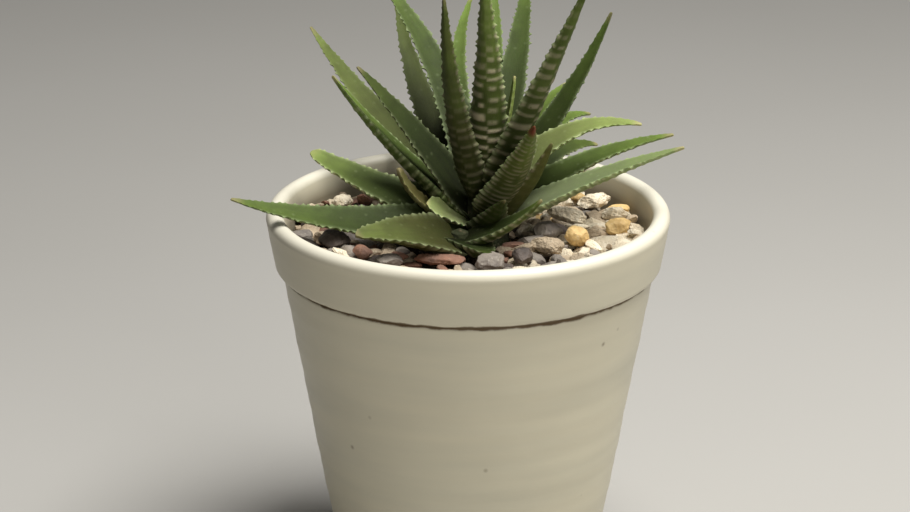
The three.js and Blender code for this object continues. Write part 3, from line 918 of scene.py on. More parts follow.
@dataclass(frozen=True)
class Leaf:
    """One thick keeled leaf. Angles are degrees, and shares run from 0 to 1.

    Attributes:
        name: The solid that it stands for.
        azimuth: The way it points at its seat: 0 is +X, 90 is +Y.
        seat: The height of its seat.
        length: Its length along its own line.
        width: Its greatest width.
        tip: The width of its end, where it is blunt.
        rise: Its slope at the seat.
        lift: How much steeper it gets on its way out.
        sweep: How far it turns round on its way out.
        roll: How far it is turned about its own line.
        skin: Its skin.
        tone: How bright it is: partly its own colour, partly painted light and shade for where it lies among
            the other leaves.
        pitch: How far apart its bands are.
        clear: The share of its length past which the bands fade out.
        banding: How strong the bands are.
        dry_tip: How dry its tip is.
        blush: How brown it is all over, most at the margins.
        russet_tip: How russet its last part is.
        bloom: How waxy and pale it is.
        plant: The stem that it sits on.
    """

    name: str
    azimuth: float
    seat: float
    length: float
    width: float
    tip: float
    rise: float
    lift: float
    sweep: float
    roll: float
    skin: Skin
    tone: float = 1.0
    pitch: float = 2.2
    clear: float = 1.0
    banding: float = 0.7
    dry_tip: float = 0.55
    blush: float = 0.0
    russet_tip: float = 0.0
    bloom: float = 0.0
    plant: Plant = MAIN

    # The body.
    thickness: ClassVar[float] = 0.34  # thickest point over width
    least_thickness: ClassVar[float] = 0.5
    fine_width: ClassVar[float] = 0.6  # width below which the thickness shrinks with it
    fine_thickness: ClassVar[float] = 1.17  # thickness over width there
    blunt_from: ClassVar[float] = 1.8  # tip width from which the end is blunt
    point_width: ClassVar[float] = 0.55
    end_rounding: ClassVar[float] = 0.8  # length of the rounded end over its width
    clasp: ClassVar[Pair] = (0.66, 0.34)  # width at the seat, and what it gains by the clasp's end
    clasp_end: ClassVar[float] = 0.18  # share of the length
    taper_from: ClassVar[float] = 0.12  # share of the length at which the leaf starts to narrow
    taper: ClassVar[Pair] = (1.12, 0.95)  # how late and how bluntly it narrows
    channel: ClassVar[float] = 0.12  # hollow of the face over thickness
    axis_depth: ClassVar[float] = 0.45  # how deep below the margins its own line runs, over thickness
    belly: ClassVar[float] = 0.97  # depth of the back over thickness
    belly_curve: ClassVar[Pair] = (2.2, 0.8)  # how flat the back is, and how full at the margins
    keel: ClassVar[Pair] = (0.05, 0.16)  # height of the keel's ridge over thickness, and its width
    bend: ClassVar[float] = 1.3  # how late along the leaf its rise changes
    seat_sink: ClassVar[float] = 0.5  # share of the stem's radius at which its line starts
    ripple: ClassVar[float] = 0.12  # how far its line wavers to the sides
    ripple_pace: ClassVar[float] = 0.8

    # The mesh.
    station_pitch: ClassVar[float] = 0.34
    fewest_stations: ClassVar[int] = 24
    end_stations: ClassVar[tuple[float, ...]] = (0.6, 0.3, 0.1, 0.0)
    face_columns: ClassVar[int] = 13
    back_columns: ClassVar[int] = 23

    # The bands and the teeth. Their full size is reached where the leaf is full_relief wide.
    full_relief: ClassVar[float] = 4.0
    relief_start: ClassVar[Pair] = (0.02, 0.1)  # shares of the length over which it sets in
    relief_end: ClassVar[Pair] = (1.0, 0.96)
    band_height: ClassVar[float] = 0.26
    band_slope: ClassVar[float] = 0.5  # how much lower a band is at the margin
    band_spread: ClassVar[float] = 0.4  # how far it pushes outwards, over its height
    stagger: ClassVar[float] = 0.34  # how far the two sides of the keel are out of step, over the pitch
    band_wander: ClassVar[float] = 0.2
    band_slant: ClassVar[float] = 0.2
    band_thickness: ClassVar[Pair] = (0.22, 0.16)  # least half thickness over the pitch, and its draw
    band_softness: ClassVar[float] = 0.7
    joined: ClassVar[float] = 0.5  # how far the bands near the seat run together over the keel
    joined_span: ClassVar[Pair] = (0.45, 0.15)
    inner_draw: ClassVar[Pair] = (-0.2, 0.5)  # where a band starts beside the keel, and its draw
    outer_draw: ClassVar[Pair] = (0.52, 0.42)  # where it ends towards the margin, and its draw
    inner_edge: ClassVar[Pair] = (-0.1, 0.1)
    outer_edge: ClassVar[Pair] = (0.12, -0.08)
    edge_dot: ClassVar[Triple] = (0.8, 0.93, 0.09)  # strength, place and width of a dot at the margin
    strength_draw: ClassVar[Pair] = (0.4, 0.75)
    fade: ClassVar[float] = 0.12  # half the share of the length over which the bands fade out
    faint: ClassVar[float] = 0.15  # their strength past that
    tooth_pitch: ClassVar[float] = 1.9
    tooth_length: ClassVar[float] = 0.78
    tooth_reach: ClassVar[float] = 0.34  # half a tooth's foot over the pitch
    tooth_wander: ClassVar[float] = 0.3
    least_tooth: ClassVar[float] = 0.75
    tooth_phases: ClassVar[Pair] = (0.1, 0.6)
    margin_from: ClassVar[float] = 0.72  # how far across the leaf its margin starts

    # What the finish reads.
    rim_from: ClassVar[Pair] = (0.8, 0.98)  # across the leaf
    rim_strength: ClassVar[float] = 0.16  # between the teeth
    dry_span: ClassVar[Pair] = (0.93, 0.995)  # shares of the length
    russet_span: ClassVar[Pair] = (0.88, 0.95)
    least_blush: ClassVar[float] = 0.6  # at the keel, and where it is uneven
    back_shift: ClassVar[float] = 40.0  # keeps the back's pattern apart from the face's
    leaf_shift: ClassVar[float] = 97.0  # and one leaf's from another's

    # The balls that keep gravel out: how many, their radius over the leaf's width, and what is added.
    guard_count: ClassVar[int] = 14
    guard_radius: ClassVar[Pair] = (0.42, 0.6)
    guard_drop: ClassVar[float] = 0.3

    @property
    def seed(self) -> float:
        """A number of its own for each leaf, from 0 to 1."""
        return (self.azimuth * 0.731 + self.length * 0.377 + self.seat * 0.193) % 1.0

    def spine(self, share: Rows) -> tuple[Rows, Rows, Rows]:
        """Walks the leaf from its seat to its tip.

        Args:
            share: The stations, as shares of the length.

        Returns:
            For each station its place, its sideways axis and its upward axis.
        """

        def direction(at: Rows) -> Rows:
            """The way the leaf points.

            Args:
                at: The shares of its length.

            Returns:
                A vector of length 1 for each.
            """
            slope = np.radians(self.rise + self.lift * np.maximum(at, 0) ** self.bend)
            turn = np.radians(self.azimuth + self.sweep * at)
            flat = np.cos(slope)
            return np.stack([flat * np.cos(turn), flat * np.sin(turn), np.sin(slope)], axis=1)

        halfway = (share[1:] + share[:-1]) / 2
        steps = direction(halfway) * (np.diff(share) * self.length)[:, None]
        out = self.plant.radius(self.seat) * self.seat_sink
        azimuth = math.radians(self.azimuth)
        start = (self.plant.x + out * math.cos(azimuth), self.plant.y + out * math.sin(azimuth), self.seat)
        places = np.vstack([[start], np.cumsum(steps, axis=0) + start])
        turn = np.radians(self.azimuth + self.sweep * share)
        across = np.stack([-np.sin(turn), np.cos(turn), np.zeros_like(turn)], axis=1)
        above = np.cross(direction(share), across)
        roll = math.radians(-self.roll)
        rolled_across = across * math.cos(roll) + above * math.sin(roll)
        rolled_above = above * math.cos(roll) - across * math.sin(roll)
        return places, rolled_across, rolled_above

    @property
    def end_width(self) -> float:
        """The width just before the tip: a blunt leaf's own, a pointed leaf's fine point."""
        return self.tip if self.tip > self.blunt_from else self.point_width

    def widths(self, share: Rows) -> Rows:
        """How wide the leaf is, with a clasping seat and a rounded end.

        Args:
            share: The shares of its length.

        Returns:
            The width at each.
        """
        least, gain = self.clasp
        clasp = least + gain * np.sin(np.pi / 2 * np.minimum(share / self.clasp_end, 1))
        lateness, bluntness = self.taper
        past = np.maximum(0, (share - self.taper_from) / (1 - self.taper_from))
        taper = (1 - past**lateness) ** bluntness
        left = np.clip((1 - share) * self.length / (self.end_rounding * self.end_width), 0, 1)
        return (self.end_width + (self.width - self.end_width) * clasp * taper) * np.sqrt(1 - (1 - left) ** 2)

    def wobble(self, values: Rows, phase: float) -> Rows:
        """A slow irregular wave between about -1 and 1.

        Args:
            values: Where along the wave to look.
            phase: Which wave: each number gives another.

        Returns:
            The wave's height at each place.
        """
        slow, quick, quick_height, quick_turn = 0.61, 1.37, 0.6, 2.3
        angle = 2 * math.pi * (self.seed + phase)
        waves = np.sin(values * slow + angle) + quick_height * np.sin(values * quick + quick_turn * angle)
        return waves / (1 + quick_height)

    def teeth(self, along: Rows, phase: float) -> Rows:
        """Small pointed teeth along one margin, unevenly spaced.

        Args:
            along: How far from the seat each station is.
            phase: What sets this margin's teeth apart from the other's.

        Returns:
            How far each station stands out in a tooth, from 0 to 1.
        """
        uneven = self.tooth_wander * self.wobble(along * 1.7, phase)
        beat = (along / self.tooth_pitch + uneven + phase) % 1.0
        size = self.least_tooth + (1 - self.least_tooth) * self.wobble(along * 2.9, phase + 0.4)
        return np.clip(1 - np.abs(beat - 0.5) / self.tooth_reach, 0, 1) * size

    def chance(self, number: Rows, side: Rows, salt: float) -> Rows:
        """A number from 0 to 1 for each band and side of the keel, always the same one."""
        return np.abs(np.sin(number * 12.9898 + side * 78.233 + self.seed * 91.7 + salt) * 43758.5453) % 1.0

    def bands(self, along: Rows, column: Rows) -> Rows:
        """The raised bands across the back: broken blocks, out of step on the two sides of the keel.

        Args:
            along: How far from the seat each point is.
            column: Where it is across the back, from -1 to 1.

        Returns:
            How far each point stands in a band, from 0 to 1.
        """
        side = np.where(column > 0, 1.0, 0.0)
        reach = np.abs(column)
        share = along / self.length
        uneven = self.band_wander * self.wobble(along * 0.7 + 9 * side, 0.2)
        beat = along / self.pitch + uneven + self.stagger * side + self.band_slant * reach
        number = np.floor(beat)

        def draw(least_and_more: Pair, salt: float) -> Rows:
            """A value of its own for each band, from the least to the least and more."""
            return least_and_more[0] + least_and_more[1] * self.chance(number, side, salt)

        thick = draw(self.band_thickness, 2.9)
        ridge = smooth_step(0.0, self.band_softness, 1 - np.abs(beat - number - 0.5) / thick)
        inner = draw(self.inner_draw, 1.7) - self.joined * smooth_step(*self.joined_span, share)
        outer = draw(self.outer_draw, 4.1)
        block = smooth_step(inner + self.inner_edge[0], inner + self.inner_edge[1], reach)
        block = block * smooth_step(outer + self.outer_edge[0], outer + self.outer_edge[1], reach)
        dot_strength, dot_place, dot_width = self.edge_dot
        edge_dot = dot_strength * np.exp(-(((reach - dot_place) / dot_width) ** 2))
        strength = np.minimum(1, self.banding * draw(self.strength_draw, 7.3))
        fade = smooth_step(self.clear + self.fade, self.clear - self.fade, share)
        return ridge * np.maximum(block * strength * (self.faint + (1 - self.faint) * fade), edge_dot)

    def stations(self) -> Rows:
        """Places the leaf's rings, closer together round its end.

        Returns:
            The shares of the length at which they lie.
        """
        count = max(self.fewest_stations, round(self.length / self.station_pitch))
        share = np.linspace(0, 1, count)
        return np.concatenate([share[:-1], 1 - (1 - share[-2]) * np.array(self.end_stations)])

    @staticmethod
    def quads(rows: int, ring: int) -> list[list[int]]:
        """Joins each ring of points to the next and closes both ends.

        Args:
            rows: How many rings there are.
            ring: How many points each has.

        Returns:
            The point numbers of each face.
        """
        index = np.arange(rows * ring).reshape(rows, ring)
        following = np.roll(index, -1, axis=1)
        sides = np.stack([index[:-1], following[:-1], following[1:], index[1:]], axis=-1)
        return [*sides.reshape(-1, 4).tolist(), index[0][::-1].tolist(), index[-1].tolist()]

    def marks(
        self, share: Rows, band: Rows, tooth: Rows, columns: Rows, half: Rows, room: Rows
    ) -> dict[str, Rows]:
        """Works out what the finish reads at each point.

        Args:
            share: The stations, as shares of the length.
            band: How far each point stands in a band.
            tooth: How far each point stands in a tooth.
            columns: Where each point of a ring is across the leaf, from -1 to 1.
            half: Half the width at each point, teeth included.
            room: How much relief each station has.

        Returns:
            Named vectors, one row for each point.
        """
        grid_along, grid_column = np.meshgrid(share * self.length, columns, indexing="ij")
        full = np.ones_like(grid_along)
        on_back = full * self.on_back()
        rim = smooth_step(*self.rim_from, np.abs(columns))
        rim = rim * (self.rim_strength + (1 - self.rim_strength) * tooth / max(tooth.max(), 0.1))
        dryness = self.dry_tip * smooth_step(*self.dry_span, share)[:, None] * full
        least, more = self.least_blush, 1 - self.least_blush
        edge = least + more * np.abs(grid_column)
        blush = self.blush * edge * (least + more * self.wobble(grid_along * 0.4 + grid_column, 0.9))
        blush += self.russet_tip * smooth_step(*self.russet_span, share)[:, None]
        across = grid_column * half + self.back_shift * on_back
        named = {
            "leaf_share": (share[:, None] * full, self.bloom * full, 0 * full),
            "leaf_marks": (band, rim * room[:, None], on_back),
            # The third value is the leaf's tone, partly painted light and shade.
            "leaf_wear_and_shading": (dryness, np.clip(blush, 0, 1), self.tone * full),
            "leaf_place": (grid_along, across, self.leaf_shift * self.seed * full),
        }
        return {name: np.stack(values, axis=-1).reshape(-1, 3) for name, values in named.items()}

    def on_back(self) -> Rows:
        """For each point of a ring, 1 on the back and 0 on the face."""
        return np.concatenate([np.zeros(self.face_columns), np.ones(self.back_columns)])

    def build(self, skins: dict[Skin, bpy.types.Material]) -> bpy.types.Object:
        """Builds the leaf: smooth hollow face, banded keeled back and toothed margins.

        Args:
            skins: The finished skins.

        Returns:
            The leaf.
        """
        share = self.stations()
        places, across, above = self.spine(share)
        along = share * self.length
        width = self.widths(share)
        full_depth = self.least_thickness + self.thickness * width
        deep = np.where(width > self.fine_width, full_depth, self.fine_thickness * width)[:, None]
        room = np.minimum(1, width / self.full_relief)
        room = room * smooth_step(*self.relief_start, share) * smooth_step(*self.relief_end, share)

        face = np.cos(np.linspace(0, math.pi, self.face_columns))
        back = -np.cos(np.linspace(0, math.pi, self.back_columns + 2))[1:-1]
        columns = np.concatenate([face, back])
        grid_along, grid_column = np.meshgrid(along, columns, indexing="ij")
        on_back = np.broadcast_to(self.on_back(), grid_along.shape)
        left, right = (self.teeth(along, phase) * room for phase in self.tooth_phases)
        near_margin = smooth_step(self.margin_from, 1.0, np.abs(columns))
        tooth = np.where(columns > 0, left[:, None], right[:, None]) * near_margin
        half = width[:, None] / 2 + self.tooth_length * tooth
        band = self.bands(grid_along, grid_column) * on_back * room[:, None]

        hollow = -self.channel * deep * (1 - columns**2)
        flat, full = self.belly_curve
        keel_height, keel_width = self.keel
        keel = (1 - np.abs(columns) ** flat) ** full + keel_height * np.exp(-((columns / keel_width) ** 2))
        raised = self.band_height * band * (1 - self.band_slope * np.abs(columns))
        belly = -deep * keel * self.belly - raised
        upward = np.where(on_back > 0, belly, hollow) + self.axis_depth * deep
        sideways = columns * half + np.sign(columns) * self.band_spread * self.band_height * band
        sideways = sideways + (self.ripple * self.wobble(along * self.ripple_pace, 0.5) * room)[:, None]
        points = (
            places[:, None, :]
            + across[:, None, :] * sideways[:, :, None]
            + above[:, None, :] * upward[:, :, None]
        )
        faces = self.quads(len(share), len(columns))
        marks = self.marks(share, band, tooth, columns, half, room)
        piece = make_piece(f"{self.name}_fine", points.reshape(-1, 3), faces, skins[self.skin], marks)
        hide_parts(self.name)
        return piece

    def guards(self) -> list[tuple[Vector, float]]:
        """Balls that cover the leaf, which the gravel keeps out of.

        Returns:
            The centre and radius of each ball, in millimetres.
        """
        share = np.linspace(0, 1, self.guard_count)
        places, _, above = self.spine(share)
        per_width, added = self.guard_radius
        centres = places - above * self.guard_drop
        return [
            (Vector(centre), per_width * width + added)
            for centre, width in zip(centres, self.widths(share), strict=True)
        ]


@dataclass
class Rosette:
    """The plant and its young offset, leaf by leaf, from the newest outwards."""

    # Name, azimuth, seat, length, width, tip, rise, lift, sweep, roll and skin, then the looks.
    # Skins and tones are partly painted light and shade: leaves that lie in shade get darker ones, and leaves
    # that others would shade get brighter tones.
    shown: ClassVar[tuple[Leaf, ...]] = (
        Leaf("leaf_heart", 19, 101, 26, 3.6, 1.2, 68, 18, 0, 0, Skin.PALE, tone=1.1),
        Leaf("leaf_mast_back", 81, 100, 61, 7.0, 1.2, 30, 19, 12, 0, Skin.GREEN),
        Leaf("leaf_tall_left", 111, 98.6, 65, 6.9, 1.2, 35, -11, -38, 0, Skin.GREEN),
        Leaf("leaf_tall_right", 71, 97.8, 72, 9.2, 1.2, 42, -21, 17, -2, Skin.GREEN, tone=0.6),
        Leaf("leaf_mast_front", 281, 97.9, 62, 10.4, 1.2, 75, 1, -29, 9, Skin.DARK,
             tone=1.18, pitch=2.7, clear=0.6, banding=1.0),
        Leaf("leaf_crown_right", 313, 96.9, 69, 9.3, 1.2, 60, 1.5, -2, 6, Skin.DARK,
             tone=0.85, pitch=3.0, clear=0.86, banding=0.62),
        Leaf("leaf_crown_left", 238, 96.4, 58, 7.7, 1.2, 61.5, 22, 15, -5, Skin.DARK,
             tone=0.62, pitch=2.6, clear=0.5, banding=0.35, dry_tip=0.35, blush=0.12),
        Leaf("leaf_back_left", 111.6, 96.2, 68, 9.9, 1.2, 53, -22.6, 22.3, 7, Skin.GREEN, tone=0.7),
        Leaf("leaf_right_dark", 32, 95.3, 54, 8.8, 1.2, 41.4, 22.3, -1, -12, Skin.GREEN, tone=0.52),
        Leaf("leaf_right_behind", 50, 94.9, 38, 7.9, 1.4, 55.6, -39, -1, -5, Skin.GREEN),
        Leaf("leaf_back_pale", 120, 94.4, 63, 9.8, 1.2, 25.2, 31.6, -11.7, 8, Skin.PALE, tone=0.42),
        Leaf("leaf_left_broad", 177, 93.0, 44.5, 10.2, 1.3, 56, -9, -7, 31, Skin.DARK, tone=0.58),
        Leaf("leaf_front_banded", 306, 93.5, 39, 11.6, 1.2, 48, 0, -27, 0, Skin.DARK,
             tone=0.95, pitch=1.5, clear=1.3, banding=0.48, dry_tip=0.0, blush=0.08, russet_tip=0.9),
        Leaf("leaf_right_pale", 16, 93.0, 44, 10.0, 1.2, 62, -71, -24, -25, Skin.PALE, tone=1.12, bloom=0.06),
        Leaf("leaf_left_long", 137.5, 92.6, 68, 10.6, 1.2, 25, 11, -9, 10, Skin.PALE, tone=0.66),
        Leaf("leaf_left_short", 198, 91.8, 12.5, 6.4, 4.6, 23, 4, -4, 38, Skin.PALE, tone=1.9, bloom=0.22),
        Leaf("leaf_right_back", 56, 91.8, 48, 9.0, 1.4, 45.5, -62, -3, -19, Skin.GREEN),
        Leaf("leaf_front_brown", 330, 91.7, 28, 10.4, 1.2, 43, 23, -12, 0, Skin.DARK,
             tone=0.8, pitch=2.4, clear=0.1, banding=0.25, dry_tip=0.2, blush=0.3),
        Leaf("leaf_left_edge", 165, 91.3, 47.5, 11.0, 1.2, 38, 15, 4.5, -8, Skin.GREEN, tone=0.95),
        Leaf("leaf_right_tucked", 44, 91.9, 39.5, 9.6, 1.4, 41, -60, 0, -30, Skin.DARK, tone=0.95),
        Leaf("leaf_right_upper", 27, 91.4, 48, 9.2, 1.2, 30, -18, -30, -19, Skin.GREEN),
        Leaf("leaf_dry_scrap", 190, 90.8, 23.5, 5.6, 2.0, 14, 58, -14, 12, Skin.DRY, tone=1.3),
        Leaf("leaf_left_low", 197, 90.3, 59, 12.4, 1.2, 4, 17, -4, 30, Skin.GREEN, tone=0.74),
        Leaf("leaf_right_lower", 353, 90.4, 49, 9.6, 1.2, 29.5, -10, 0, -13, Skin.GREEN,
             tone=1.15, bloom=0.26),
        Leaf("leaf_left_blunt", 166, 90.0, 42.5, 13.4, 3.2, 14.5, 13, -4, 20, Skin.DARK,
             tone=1.95, dry_tip=0.12, bloom=0.03),
        Leaf("leaf_front_short", 282, 89, 20, 9.8, 1.4, 41, 0, 9, 0, Skin.DARK,
             tone=0.45, clear=1.0, banding=0.3),
        Leaf("leaf_offset_right", 333, 89.9, 23, 9.0, 1.4, 20, 30, 14, -12, Skin.DARK, plant=OFFSET),
        Leaf("leaf_offset_broad", 220, 89.2, 29, 15.0, 2.0, 24, -20, -10, 24, Skin.PALE,
             tone=0.56, blush=0.12, plant=OFFSET),
        Leaf("leaf_offset_front", 300, 89.6, 14.5, 12.0, 1.4, 0, 11, -3, 9, Skin.DARK,
             tone=0.6, plant=OFFSET),
    )

    # The leaves on the far side follow the rosette's spiral, folded into the arc that is free. A pair
    # gives a size at the first of them and what it gains by the last.
    far_count: int = 7
    far_first_azimuth: float = 96.0
    divergence: float = 137.5
    far_arc: Pair = (66.0, 126.0)
    far_seat: Pair = (93.0, -4.0)
    far_length: Pair = (42.0, 4.0)
    far_width: Pair = (8.5, 1.3)
    far_rise: Pair = (32.0, -20.0)
    far_tip: float = 1.2
    length_draw: float = 3.0
    lift_draw: Pair = (-6.0, 14.0)
    sweep_draw: float = 20.0

    @staticmethod
    def seeded(seed: int) -> Callable[[], float]:
        """The draw that the model's source uses for the leaves on the far side.

        Args:
            seed: The first state.

        Returns:
            A function that gives the next number from 0 to 1.
        """
        factor, step, states = 1664525, 1013904223, 2**32
        state = seed

        def draw() -> float:
            """Steps on.

            Returns:
                The next number.
            """
            nonlocal state
            state = (state * factor + step) % states
            return state / states

        return draw

    def far_leaves(self) -> list[Leaf]:
        """The leaves on the far side.

        Returns:
            The leaves.
        """
        draw = self.seeded(SEED)
        leaves = []
        for i in range(self.far_count):
            share = i / (self.far_count - 1)
            turned = (self.far_first_azimuth + i * self.divergence) % 360
            azimuth = self.far_arc[0] + (self.far_arc[1] - self.far_arc[0]) * turned / 360
            sizes = (self.far_seat, self.far_length, self.far_width, self.far_rise)
            seat, length, width, rise = (first + gain * share for first, gain in sizes)
            length += self.length_draw * draw()
            lift = self.lift_draw[0] + self.lift_draw[1] * draw()
            sweep = self.sweep_draw * draw() - self.sweep_draw / 2
            shape = (azimuth, seat, length, width, self.far_tip, rise, lift, sweep, 0)
            leaves.append(Leaf(f"leaf_far_{i + 1:02d}", *shape, Skin.GREEN))
        return leaves

    def leaves(self) -> list[Leaf]:
        """Every leaf."""
        return [*self.shown, *self.far_leaves()]

    def build(self, effects: Effects) -> None:
        """Builds every leaf.

        Args:
            effects: The shared effects.
        """
        skins = {skin: skin.value.build(effects) for skin in Skin}
        for leaf in self.leaves():
            leaf.build(skins)


# ---- gravel ------------------------------------------------------------------------------------


@dataclass
class Pebble:
    """One stone of the dressing: where it lies and how it is shaped."""

    place: Vector
    radius: float
    kind: Stone


@dataclass
class Gravel:
    """The loose dressing: grit, several hundred small stones and the larger ones.

    Attributes:
        pot: The pot that holds it.
        rosette: The plant above it.
        surface: The height that the stones lie at.
        crisp: The angle past which a stone's edge stays sharp.
        tries: How many stones are dropped.
        spacing: How close two stones lie, over the sum of their radii.
        radii: The radius of the last stones dropped and of the first.
        shrinking: How fast the radius falls.
        radius_draw: The least and greatest share of that radius.
        wall_gap: How a stone keeps off the wall: a share of its radius, and what is added.
        bank: How much higher the dressing is at the wall.
        height_draw: The least and greatest shift of a stone's height.
        sinking: How deep a stone lies, as a share of its radius.
        pale_from_x: Where the pale stones start.
        rusty_x: Where the rusty stones in front start and end.
        rusty_past_y: How far forward they start.
        russet_patch: The middle of the russet patch.
        russet_reach: Its radius.
    """

    pot: Pot
    rosette: Rosette
    surface: float = 88.0
    crisp: float = 27.0
    tries: int = 9000
    spacing: float = 0.74
    radii: Pair = (1.1, 3.1)
    shrinking: float = 0.6
    radius_draw: Pair = (0.85, 1.1)
    wall_gap: Pair = (0.8, 0.3)
    bank: float = 1.1
    height_draw: Pair = (-1.6, 0.7)
    sinking: float = 0.35
    pale_from_x: float = 11.0
    rusty_x: Pair = (-26.0, 4.0)
    rusty_past_y: float = -13.0
    russet_patch: Pair = (12.5, -3.0)
    russet_reach: float = 5.5

    pale_mixture: ClassVar[dict[Stone, float]] = {
        Stone.CREAM: 0.5, Stone.TAN: 0.3, Stone.GREY: 0.14, Stone.OCHRE: 0.04, Stone.DARK: 0.02,
    }
    dull_mixture: ClassVar[dict[Stone, float]] = {
        Stone.TAN: 0.22, Stone.GREY: 0.24, Stone.RUST: 0.2, Stone.DARK: 0.22, Stone.CREAM: 0.11,
        Stone.OCHRE: 0.01,
    }
    rusty_mixture: ClassVar[dict[Stone, float]] = {
        Stone.RUST: 0.62, Stone.GREY: 0.16, Stone.TAN: 0.12, Stone.DARK: 0.1,
    }
    feature_kinds: ClassVar[dict[str, Stone]] = {
        "stone_ochre": Stone.OCHRE, "stone_amber": Stone.OCHRE, "stone_cream_long": Stone.CREAM,
        "stone_cream_edge": Stone.CREAM, "stone_white_ridge": Stone.CREAM, "stone_white": Stone.CREAM,
        "stone_grey_round": Stone.GREY, "stone_slate": Stone.GREY, "stone_lilac": Stone.GREY,
        "stone_tan": Stone.TAN, "stone_dark": Stone.DARK, "stone_charcoal": Stone.DARK,
        "stone_rust_flat": Stone.RUST, "stone_russet": Stone.RUST,
    }

    # What the stones keep clear of: low leaves, the larger stones and the stems.
    guard_top: ClassVar[float] = 100.0
    guard_share: ClassVar[float] = 0.85
    feature_guard: ClassVar[Pair] = (0.42, 0.7)
    least_feature: ClassVar[float] = 3.0
    stem_gap: ClassVar[float] = 1.5

    # How a stone is broken: how deep its flats are cut, the size of its dents and its swelling.
    ball_detail: ClassVar[int] = 3
    cut_draw: ClassVar[int] = 2
    cut_depths: ClassVar[Pair] = (0.58, 0.9)
    dent_scale: ClassVar[float] = 1.6
    swelling: ClassVar[float] = 1.1
    narrowing: ClassVar[Pair] = (0.8, 1.0)
    tilt: ClassVar[float] = 0.28
    noise_reach: ClassVar[float] = 50.0
    feature_cut_depths: ClassVar[Pair] = (0.72, 0.95)
    feature_dent_scale: ClassVar[float] = 0.55
    feature_dents: ClassVar[float] = 0.8
    feature_swelling: ClassVar[float] = 1.04
    feature_lightness: ClassVar[float] = 0.55
    rounding: ClassVar[tuple[float, ...]] = (0.3, 0.35, 0.4)

    # The grit between the stones.
    grit_rings: ClassVar[int] = 44
    grit_sides: ClassVar[int] = 132
    grit_depth: ClassVar[float] = 2.2
    grit_gap: ClassVar[float] = 0.5
    grit_lump: ClassVar[float] = 0.7
    grit_lump_scale: ClassVar[float] = 0.55

    def __post_init__(self) -> None:
        """Notes what the stones keep clear of."""
        self.random = random.Random(SEED)
        balls = [ball for leaf in self.rosette.leaves() for ball in leaf.guards()]
        self.guards = [(centre, radius) for centre, radius in balls if centre.z < self.guard_top]
        share, across = self.feature_guard
        for name in self.feature_kinds:
            low, high = (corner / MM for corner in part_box(name))
            width = max((high - low).xy.length * across, self.least_feature)
            self.guards.append(((low + high) / 2, share * width))
        for plant in (MAIN, OFFSET):
            centre = Vector((plant.x, plant.y, self.surface))
            self.guards.append((centre, plant.base_radius + self.stem_gap))

    @staticmethod
    def ball(detail: int) -> tuple[Rows, list[tuple[int, ...]]]:
        """A sphere of triangles with radius 1.

        Args:
            detail: How often it is subdivided.

        Returns:
            Its points and faces.
        """
        made = bmesh.new()
        bmesh.ops.create_icosphere(made, subdivisions=detail, radius=1.0)
        return mesh_arrays(made)

    def chipped(self, points: Rows, cuts: int, depths: Pair) -> Rows:
        """Cuts flats on a blob round its own middle, at random angles.

        Args:
            points: The blob's points.
            cuts: How many flats.
            depths: The least and greatest share of the blob's reach at which a flat lies.

        Returns:
            The moved points.
        """
        shaped = points.copy()
        for _ in range(cuts):
            normal = np.array(Vector([self.random.gauss(0, 1) for _ in range(3)]).normalized())
            height = shaped @ normal
            over = np.maximum(height - height.max() * self.random.uniform(*depths), 0)
            shaped -= over[:, None] * normal
        return shaped

    def dents(self, points: Rows, scale: float) -> Rows:
        """Rough dents over a stone, from a random place in the noise.

        Args:
            points: The stone's points.
            scale: How fine the dents are.

        Returns:
            The height at each point, both ways from 0.
        """
        reach = self.noise_reach
        shift = Vector([self.random.uniform(-reach, reach) for _ in range(3)])
        return np.array([rough_ground(Vector(point) * scale + shift) for point in points])

    def kind_at(self, place: Vector) -> Stone:
        """Draws a stone's kind by its place.

        The stones are pale broken quartz to the right, rusty slate in front and in the russet patch,
        and dull elsewhere.

        Args:
            place: The stone's centre.

        Returns:
            The kind.
        """
        mixture = self.pale_mixture if place.x > self.pale_from_x else self.dull_mixture
        in_front = self.rusty_x[0] < place.x < self.rusty_x[1] and place.y < self.rusty_past_y
        patch = Vector((*self.russet_patch, self.surface))
        if in_front or (place - patch).length < self.russet_reach:
            mixture = self.rusty_mixture
        return self.random.choices(list(mixture), list(mixture.values()))[0]

    def free_spot(self, place: Vector, radius: float, laid: list[Pebble]) -> bool:
        """Whether a stone fits at a place without sinking far into anything.

        Args:
            place: The stone's centre.
            radius: Its radius.
            laid: The stones that lie there already.

        Returns:
            True if it fits.
        """
        body = self.guard_share * radius
        if any((place - centre).length < body + guard for centre, guard in self.guards):
            return False
        return all((place - other.place).length > self.spacing * (radius + other.radius) for other in laid)

    def lay(self) -> list[Pebble]:
        """Drops stones one by one, the largest first, where there is room.

        Returns:
            The stones.
        """
        laid: list[Pebble] = []
        smallest, largest = self.radii
        gap_share, gap_added = self.wall_gap
        for step in range(self.tries):
            share = (step / self.tries) ** self.shrinking
            radius = largest + (smallest - largest) * share
            radius *= self.random.uniform(*self.radius_draw)
            reach = self.pot.inner_radius(self.surface) - gap_share * radius - gap_added
            distance = reach * math.sqrt(self.random.random())
            angle = self.random.uniform(0, 2 * math.pi)
            bank = self.bank * (distance / reach) ** 3
            height = self.surface + bank + self.random.uniform(*self.height_draw) - self.sinking * radius
            place = Vector((distance * math.cos(angle), distance * math.sin(angle), height))
            if self.free_spot(place, radius, laid):
                laid.append(Pebble(place, radius, self.kind_at(place)))
        return laid

